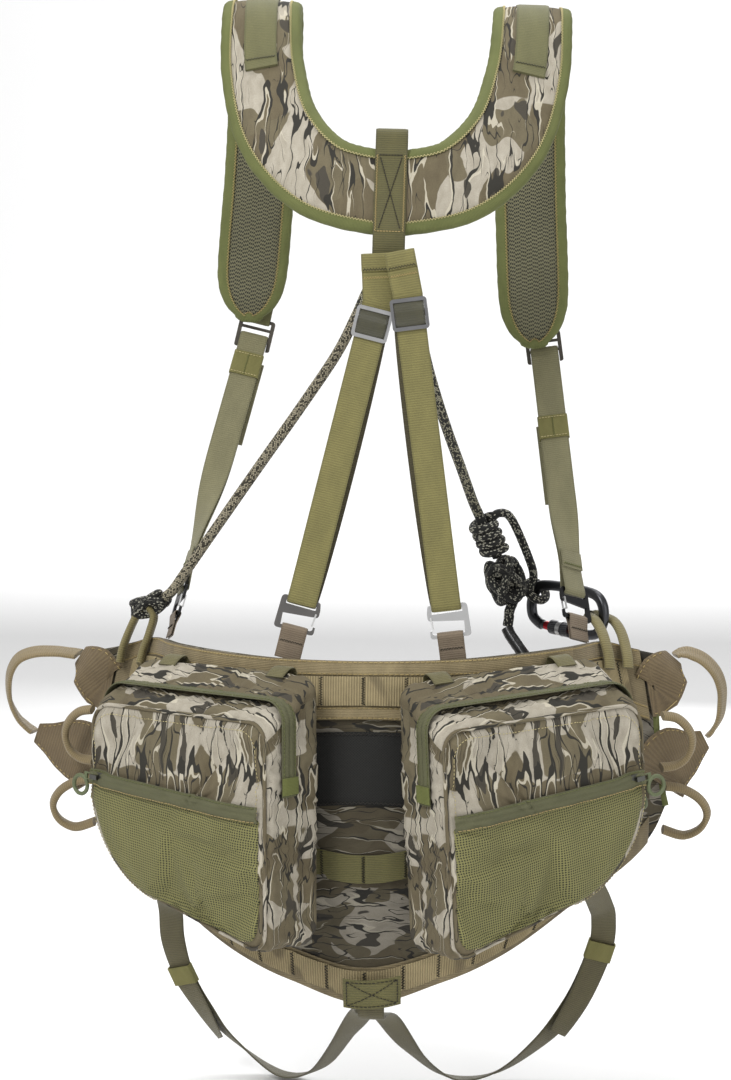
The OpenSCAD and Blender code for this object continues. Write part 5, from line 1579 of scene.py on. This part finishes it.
def make_pocket(side):
    label = "right" if side > 0 else "left"
    place = POUCHES[side][1]
    bottom = -96 + 8.5
    cols, rows = 60, 44
    up = np.empty((rows + 1, cols + 1, 3))
    down = np.empty_like(up)
    uv = np.empty((rows + 1, cols + 1, 2))
    for j in range(rows + 1):
        f = j / rows
        for i in range(cols + 1):
            z_top = pocket_edge(-POUCH_HALF + 2 * POUCH_HALF * i / cols) - 4.5
            z = z_top + (bottom - z_top) * f
            a, b = panel_width(max(bottom + 0.5, z))
            x = a + (b - a) * i / cols
            z_top = pocket_edge(x) - 4.5
            z = z_top + (bottom - z_top) * f
            rim = min(1, 4 * f, 4 * (1 - f), 8 * i / cols, 8 * (1 - i / cols))
            billow = 1.2 + 2.6 * max(0, rim) ** 0.6 + 0.9 * wobble(x * 0.03, z * 0.03, 4 * side)
            q = front_of(side, x, z)
            up[j, i] = q - [0, billow, 0]
            down[j, i] = q - [0, billow - 1.0, 0]
            uv[j, i] = (x, z)
    up, down = place(up), place(down)
    if side < 0:
        up, down = up[:, ::-1], down[:, ::-1]
        uv = uv[:, ::-1]
    obj = slab("pocket_panel_" + label, up, down, uv, POCKET, sharp=80)
    return obj


def face_strip(name, side, centre, width, lift, thick, material, cols=64, rows=6, shape=None):
    """Strip across the front of a pouch that follows centre(x)."""
    place = POUCHES[side][1]
    up = np.empty((rows + 1, cols + 1, 3))
    down = np.empty_like(up)
    uv = np.empty((rows + 1, cols + 1, 2))
    for i in range(cols + 1):
        x = -POUCH_HALF + 7 + (2 * POUCH_HALF - 14) * i / cols
        for j in range(rows + 1):
            f = j / rows
            z = centre(x) + width * (0.5 - f)
            q = front_of(side, x, z)
            h = lift + (shape(f) if shape else 0)
            edge = 0.45 if j in (0, rows) else 1
            up[j, i] = q - [0, h + thick / 2 * edge, 0]
            down[j, i] = q - [0, h - thick / 2 * edge, 0]
            uv[j, i] = (width * (0.5 - f), x)
    up, down = place(up), place(down)
    if side < 0:
        up, down, uv = up[:, ::-1], down[:, ::-1], uv[:, ::-1]
    return slab(name, up, down, uv, material, sharp=60)


def zip_shape(f):
    """Cross-section of zip tape: two raised folds with a groove between them."""
    x = (f - 0.5) * 2
    return 1.1 * math.exp(-((abs(x) - 0.35) / 0.22) ** 2)


def make_zips(side):
    label = "right" if side > 0 else "left"
    place = POUCHES[side][1]
    pocket = face_strip("pocket_zip_" + label, side, pocket_edge, 13.5, 4.2, 1.1, ZIP_TAPE, rows=12,
                        shape=zip_shape)
    for dz in (5.6, -5.9):
        for x in np.arange(-92, 92, 3.4):
            a = place(front_of(side, x, pocket_edge(x) + dz, 5.4))
            b = place(front_of(side, x + 2.5, pocket_edge(x) + dz, 5.4))
            thread("olive" if dz > 0 else "tan", [a, b], 0.33)
    h, t = POUCH_HALF, POUCH_TOP - POUCH_Z
    run = [(-h, 30)] + [(-h, z) for z in (50, 70)] + arc(-h + 16, t - 36, 16, 180, 90, 8) + arc(h - 20,
                                                                                                t - 40, 20,
                                                                                                90, 0, 8) + [
        (h, z) for z in (70, 45, 20)]
    run = resample(run, 3.0)
    normal = unit(np.stack([-np.gradient(run[:, 1]), np.gradient(run[:, 0])], 1))
    centre = arr([[x, ZIP_Y, z] for x, z in run])
    out = arr([[a, 0, b] for a, b in normal])
    band = Band(place(centre + out), place.way(out))
    obj = ribbon("main_zip_" + label, band, 17, 1.2, 0.0, ZIP_TAPE, step=None, cols=14, life=0.1,
                 rise=lambda u, v: 0.9 * math.exp(-((abs(u) - 2.6) / 1.7) ** 2) + 0.35)
    for u in (-6.6, 6.6):
        stitch("olive", lambda a, b: band.at(a, b, 1.85), (u, 2), (u, band.length - 2), 3.2, r=0.33)
    coil = [band.at(0.55 if i % 2 else -0.55, v, 1.5) for i,
            v in enumerate(np.arange(3, band.length - 3, 0.85))]
    thread("dark", coil, 0.3)
    for v0, tag in ((2, "inner"), (band.length - 2, "outer")):
        part = piece_of(band, v0 - 7 if v0 > 10 else v0, v0 if v0 > 10 else v0 + 14)
        ribbon("zip_tab_%s_%s" % (tag, label), part, 19, 1.6, 1.9, ZIP_TAB, step=2, life=0.1)
    return pocket, obj


def make_piping(side):
    """Corded seam round the front face and the pale thread beside it."""
    label = "right" if side > 0 else "left"
    _, place, _, rings, n_back, seam, final = POUCHES[side]
    m = 160
    ring = final[seam * m:(seam + 1) * m]
    ring = np.vstack([ring, ring[:2]])
    centre = ring.mean(0)
    out = unit((ring - centre) * [1, 0, 1])
    route = place(ring + out * 0.4 + arr([0, -0.7, 0]))
    band = Band(route, place.way(out + arr([0, -1, 0])))
    tube("pouch_piping_" + label, band, 3.4, 3.4, PIPING, sides=10, shape=lambda a,
         v: 1 + 0.05 * wobble(v * 0.2, a, 1))
    ring = final[(seam + 2) * m:(seam + 3) * m]
    ring = np.vstack([ring, ring[:1]])
    pts = place(ring + arr([0, -0.5, 0]))
    path = Band(pts, place.way(np.tile([0.0, -1.0, 0.0], (len(pts), 1)))).again(1.7)
    for i in range(0, len(path.p) - 1, 2):
        thread("cream", path.p[i:i + 2], 0.28)


panels = [make_pocket(side) for side in (-1, 1)]
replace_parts(panels[0], "pocket_panels")
zips = [make_zips(side) for side in (-1, 1)]
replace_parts(zips[0][0], "pocket_zips")
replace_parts(zips[0][1], "main_zips")
for side in (-1, 1):
    make_piping(side)


def make_ties():
    first = None
    for side in (-1, 1):
        place = POUCHES[side][1]
        label = "right" if side > 0 else "left"
        for x in (-62, 62):
            top = POUCH_TOP - POUCH_Z
            path = smooth([[x, 5.5, top - 8], [x, 4, top + 0.5], [x, 0, top + 2.6], [x, -6, top + 0.8],
                           [x, -13, top - 4.5]], 5)
            t = unit(np.gradient(path, axis=0))
            band = Band(place(path), place.way(np.cross(t, [-1, 0, 0])))
            obj = ribbon("pouch_tie_%s_%s" % (label, "inner" if x < 0 else "outer"), band, 19, 1.6, -0.8, TIE,
                         step=1.5, life=0.1)
            first = first or obj
    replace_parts(first, "pouch_ties")


make_ties()

# ---------- rope ----------

ROPE_ROUTE = [
    [-188, -4, -519], [-181, -8.5, -513], [-168, -14, -495], [-140, -26, -456], [-100, -46, -401],
    [-60, -70, -347],
    [-28, -92, -302], [-10, -107, -269], [-0.5, -113.2, -249], [7.5, -114.6, -239.5], [17, -114.6, -236.5],
    [26.5, -114.6, -239.5], [33.5, -112.6, -249], [41, -101, -275], [49, -74, -317], [61, -32, -365],
    [73, 10, -406], [81, 38, -434], [86, 52, -448]]


def braid(radius, strands=8):
    def shape(a, v):
        turn = strands * a
        run = v / 2.5 * math.pi
        return 1 + 0.035 * (math.cos(turn + run) * math.cos(turn - run))
    return shape


def coil(axis_from, axis_to, radius, turns, samples=28, start=0.0, squeeze=1.0, bulge=0.0):
    """Helix of rope round a line."""
    place = along_line(axis_from, axis_to)
    length = float(np.linalg.norm(arr(axis_to) - arr(axis_from)))
    out = []
    for i in range(int(turns * samples) + 1):
        f = i / (turns * samples)
        a = start + 2 * math.pi * turns * f
        r = radius + bulge * math.sin(math.pi * f)
        out.append(place([r * math.cos(a), r * squeeze * math.sin(a), -length * f]))
    return out


def turk(place, radius, swing, height, leads, bights, samples=420, phase=0.0):
    """Closed weave of a round knot: it swings in and out as it winds up and down."""
    out = []
    for i in range(samples + 1):
        a = 2 * math.pi * leads * i / samples
        b = 2 * math.pi * bights * i / samples + phase
        r = radius + swing * math.cos(b * 2)
        out.append(place([r * math.cos(a), r * math.sin(a), height * math.sin(b)]))
    return out


def strand(points, d):
    band = Band(points, steady(points)).again(1.8)
    return tube_mesh(band, d, d, 14, braid(d / 2))


def rope_group(name, runs):
    return new_object(name, *merged(runs), ROPE_DARK, sharp=180)


def make_rope():
    route = smooth(ROPE_ROUTE, 10)
    band = Band(route, steady(route)).again(1.6)
    points, faces, uvs = tube_mesh(band, 9, 9, 24, braid(4.5))
    rope = new_object("bridge_rope_visual", points, faces, uvs, ROPE_PALE, sharp=180)
    rope.data.materials.append(ROPE)
    split = int(len(band.l) * 0.5)
    for f in rope.data.polygons:
        if f.vertices[0] // 24 > split:
            f.material_index = 1
    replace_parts(rope, "bridge_rope")
    knot_at = Place(rot(y=68), (-204, 2, -527))
    runs = [strand(turk(knot_at, 6.6, 0.8, 12.5, 2, 3, 300), 8.0),
            strand(coil(knot_at([0, 0, 15]), knot_at([0, 0, -15]), 4.2, 3.0), 7.6),
            strand(smooth([knot_at([4, 0, 10]), knot_at([2, 0, 17]), (-188, -4, -519)], 6), 8.6)]
    knot = rope_group("bridge_knot_visual", runs)
    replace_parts(knot, "bridge_knot")
    top, mid, low = arr([86, 52, -448]), arr([104, 60, -490]), arr([115.2, 65.5, -524])
    a = along_line(top, mid)
    b = along_line(mid, low)
    runs = [
        strand(coil(a([0, 0, -7]), a([0, 0, -38]), 9.6, 4.0, squeeze=1.0), 8.2),
        strand(smooth([a([0, 0, 2]), a([0, 0, -20]), a([0, 0, -44])], 8), 9.0),
        strand(turk(b.then(t=(0, 0, -20)), 12.2, 1.6, 16.5, 3, 4, 520), 8.8),
        strand(coil(b([0, 0, -4]), b([0, 0, -38]), 8.0, 3.5), 8.6),
        strand(smooth([a([8, 2, -10]), a([17, 4, -8]), a([25, 5, -18]), (132, 68, -492), (135, 72, -508),
                       (131, 70, -519)], 8), 7.6),
        strand(smooth([b([6, -4, -34]), (114, 64.5, -536), (113.4, 63, -543), (112.3, 61.2, -550)], 6), 9.0)]
    eye = Place(rot(z=-45) @ rot(y=50), (137.5, 76.5, -519.5))
    ring = [eye([10 * math.cos(t), 10 * math.sin(t), 0]) for t in np.linspace(0, 2 * math.pi, 49)]
    runs.append(strand(ring, 8.2))
    hitch = rope_group("friction_hitch_visual", runs)
    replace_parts(hitch, "friction_hitch")
    route = smooth([[112, 60.5, -552], [114.5, 58, -557], [119, 54, -563], [126, 48, -572], [137, 42, -586]],
                   6)
    sleeve_obj = tube("rope_sleeve_visual", Band(route, steady(route)), 11, 11, RUBBER, sides=24, step=1.5,
                      shape=lambda a, v: 1 + 0.012 * math.sin(v * 1.1) + 0.015 * wobble(a * 2, v * 0.3, 0))
    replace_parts(sleeve_obj, "rope_sleeve")
    tuple(arr(ROPE_ROUTE[0]) * MM)
    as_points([tuple(p * MM) for p in band.p[::2]] + [tuple(band.p[-1] * MM)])


make_rope()

# ---------- hardware ----------

def harden(node, material, width=0.35, angle=35):
    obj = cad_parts[node]
    obj.data.materials.clear()
    obj.data.materials.append(material)
    bevel = obj.modifiers.new("bevel", "BEVEL")
    bevel.width = width * MM
    bevel.segments = 3
    bevel.limit_method = "ANGLE"
    bevel.angle_limit = math.radians(angle)
    bevel.harden_normals = False
    normal = obj.modifiers.new("normals", "WEIGHTED_NORMAL")
    normal.keep_sharp = True
    for p in obj.data.polygons:
        p.use_smooth = True
    return obj


for name, material, width in (
        ("tri_glide_left", GREY_STEEL, 0.6), ("tri_glide_right", GUNMETAL, 0.6),
        ("back_hooks", GREY_STEEL, 0.5),
        ("back_gate_left", STEEL, 0.15), ("back_gate_right", STEEL, 0.15), ("front_hooks", BLACK_STEEL, 0.5),
        ("front_gate_left", STEEL, 0.15), ("front_gate_right", STEEL, 0.15), ("ladder_locks", PLASTIC, 0.5),
        ("buckle_frame", BUCKLE, 0.4), ("buckle_tongue", BUCKLE, 0.3), ("release_tab_upper", GREY_STEEL, 0.3),
        ("release_tab_lower", GREY_STEEL, 0.3), ("pocket_slider_left", ZIP_METAL, 0.3),
        ("pocket_slider_right", ZIP_METAL, 0.3),
        ("main_slider_left", ZIP_METAL, 0.3), ("main_slider_right", ZIP_METAL, 0.3),
        ("pocket_pull_left", CORD_PULL, 0.12),
        ("pocket_pull_right", CORD_PULL, 0.12), ("main_pull_left", CORD_PULL, 0.12),
        ("main_pull_right", CORD_PULL, 0.12)):
    harden(name, material, width)

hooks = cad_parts["back_hooks"].data
hooks.materials.append(DARK_STEEL)
for face in hooks.polygons:
    face.material_index = 1 if face.center.x < 0 else 0

BIN = Place(rot(y=4, z=-45), (166, 48, -533))
END, GATE_FROM, GATE_TO, SPINE_Z, GATE_Z = 46.0, -26, 24, 18.5, -18.5
FRAME_POINTS = [
    [GATE_FROM - 5, GATE_Z], [-END + 10, GATE_Z + 1.5], [-END + 2.5, -12], [-END, -2], [-END + 2.5, 8],
    [-END + 10, 16], [-22, SPINE_Z], [0, SPINE_Z + 1], [22, SPINE_Z + 1], [END - 10, 17.5],
    [END - 2.5, 11], [END, 1], [END - 2, -9], [END - 8, -16], [END - 17, GATE_Z], [GATE_TO + 2.7, GATE_Z]]


def make_carabiner():
    route = smooth([[x, 0, z] for x, z in FRAME_POINTS], 10)
    t = unit(np.gradient(route, axis=0))

    def shape(a, v):
        """Rounded bar with a shallow waist on its two broad sides."""
        return 1 - 0.13 * math.exp(-((abs(math.cos(a)) - 1) / 0.12) ** 2)

    band = Band(BIN(route), BIN.way(np.cross(t, [0, 1, 0])))
    obj = tube("carabiner_frame_visual", band, 9.5, 9.5, ALLOY, sides=28, step=1.6, shape=shape)
    tube("carabiner_nose_visual", Band(BIN(arr([[-32, 0, GATE_Z], [-29, 0, GATE_Z], [-26.4, 0, GATE_Z]])),
                                              BIN.way([[0, 1, 0]] * 3)), 7.6, 7.6, ALLOY, sides=28)
    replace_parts(obj, "carabiner_frame")
    harden("carabiner_gate", RED_ALLOY, 0.2)
    harden("carabiner_sleeve", KNURL, 0.5)
    pts = BIN(arr([[-8.5, 0, GATE_Z], [-3.5, 0, GATE_Z]]))
    band = Band(pts, BIN.way([[0, 1, 0]] * 2))
    tube("carabiner_band", band, 13.5, 13.5, GREY_STEEL, body="carabiner_sleeve", sides=32)


make_carabiner()
sew_up()

# ---------- stage ----------

def make_stage():
    mesh = bpy.data.meshes.new("floor")
    low = -0.9595
    line = [(-9, 0)] + [(6.5 + 3 * math.sin(math.radians(a)), 3 - 3 * math.cos(math.radians(a)))
                        for a in range(0, 91, 6)] + [(9.5, 9)]
    mesh.from_pydata([(x, y, low + z) for y, z in line for x in (-9, 9)], [],
                     [(2 * i, 2 * i + 1, 2 * i + 3, 2 * i + 2) for i in range(len(line) - 1)])
    mesh.polygons.foreach_set("use_smooth", [True] * len(mesh.polygons))
    floor = bpy.data.objects.new("floor", mesh)
    scene.collection.objects.link(floor)
    pale = bpy.data.materials.new("floor_pale")
    pale.use_nodes = True
    pale.node_tree.nodes["Principled BSDF"].inputs["Base Color"].default_value = (0.9, 0.9, 0.9, 1)
    pale.node_tree.nodes["Principled BSDF"].inputs["Roughness"].default_value = 0.9
    mesh.materials.append(pale)
    world = bpy.data.worlds.new("world")
    world.use_nodes = True
    world.node_tree.nodes["Background"].inputs[0].default_value = (1, 1, 1, 1)
    world.node_tree.nodes["Background"].inputs[1].default_value = 0.58
    scene.world = world
    for name, at, size, power, aim in (
            ("key", (-1.2, -2.1, 1.5), 1.1, 62, (0, 0, -0.47)),
            ("fill", (1.9, -1.6, 0.1), 1.6, 14, (0, 0, -0.47)),
            ("top", (0.1, 0.4, 1.7), 1.6, 34, (0, 0, -0.47)),
            ("back", (0.4, 2.2, 0.2), 1.8, 22, (0, 0, -0.47)),
            ("wall", (0, 4.4, 2.2), 3.0, 150, (0, 9.5, 0.6))):
        light = bpy.data.lights.new(name, "AREA")
        light.energy, light.size = power, size
        lamp = bpy.data.objects.new(name, light)
        lamp.location = at
        lamp.rotation_euler = (Vector(aim) - Vector(at)).to_track_quat("-Z", "Y").to_euler()
        scene.collection.objects.link(lamp)
    scene.view_settings.view_transform = "Standard"


make_stage()

bpy.context.view_layer.update()
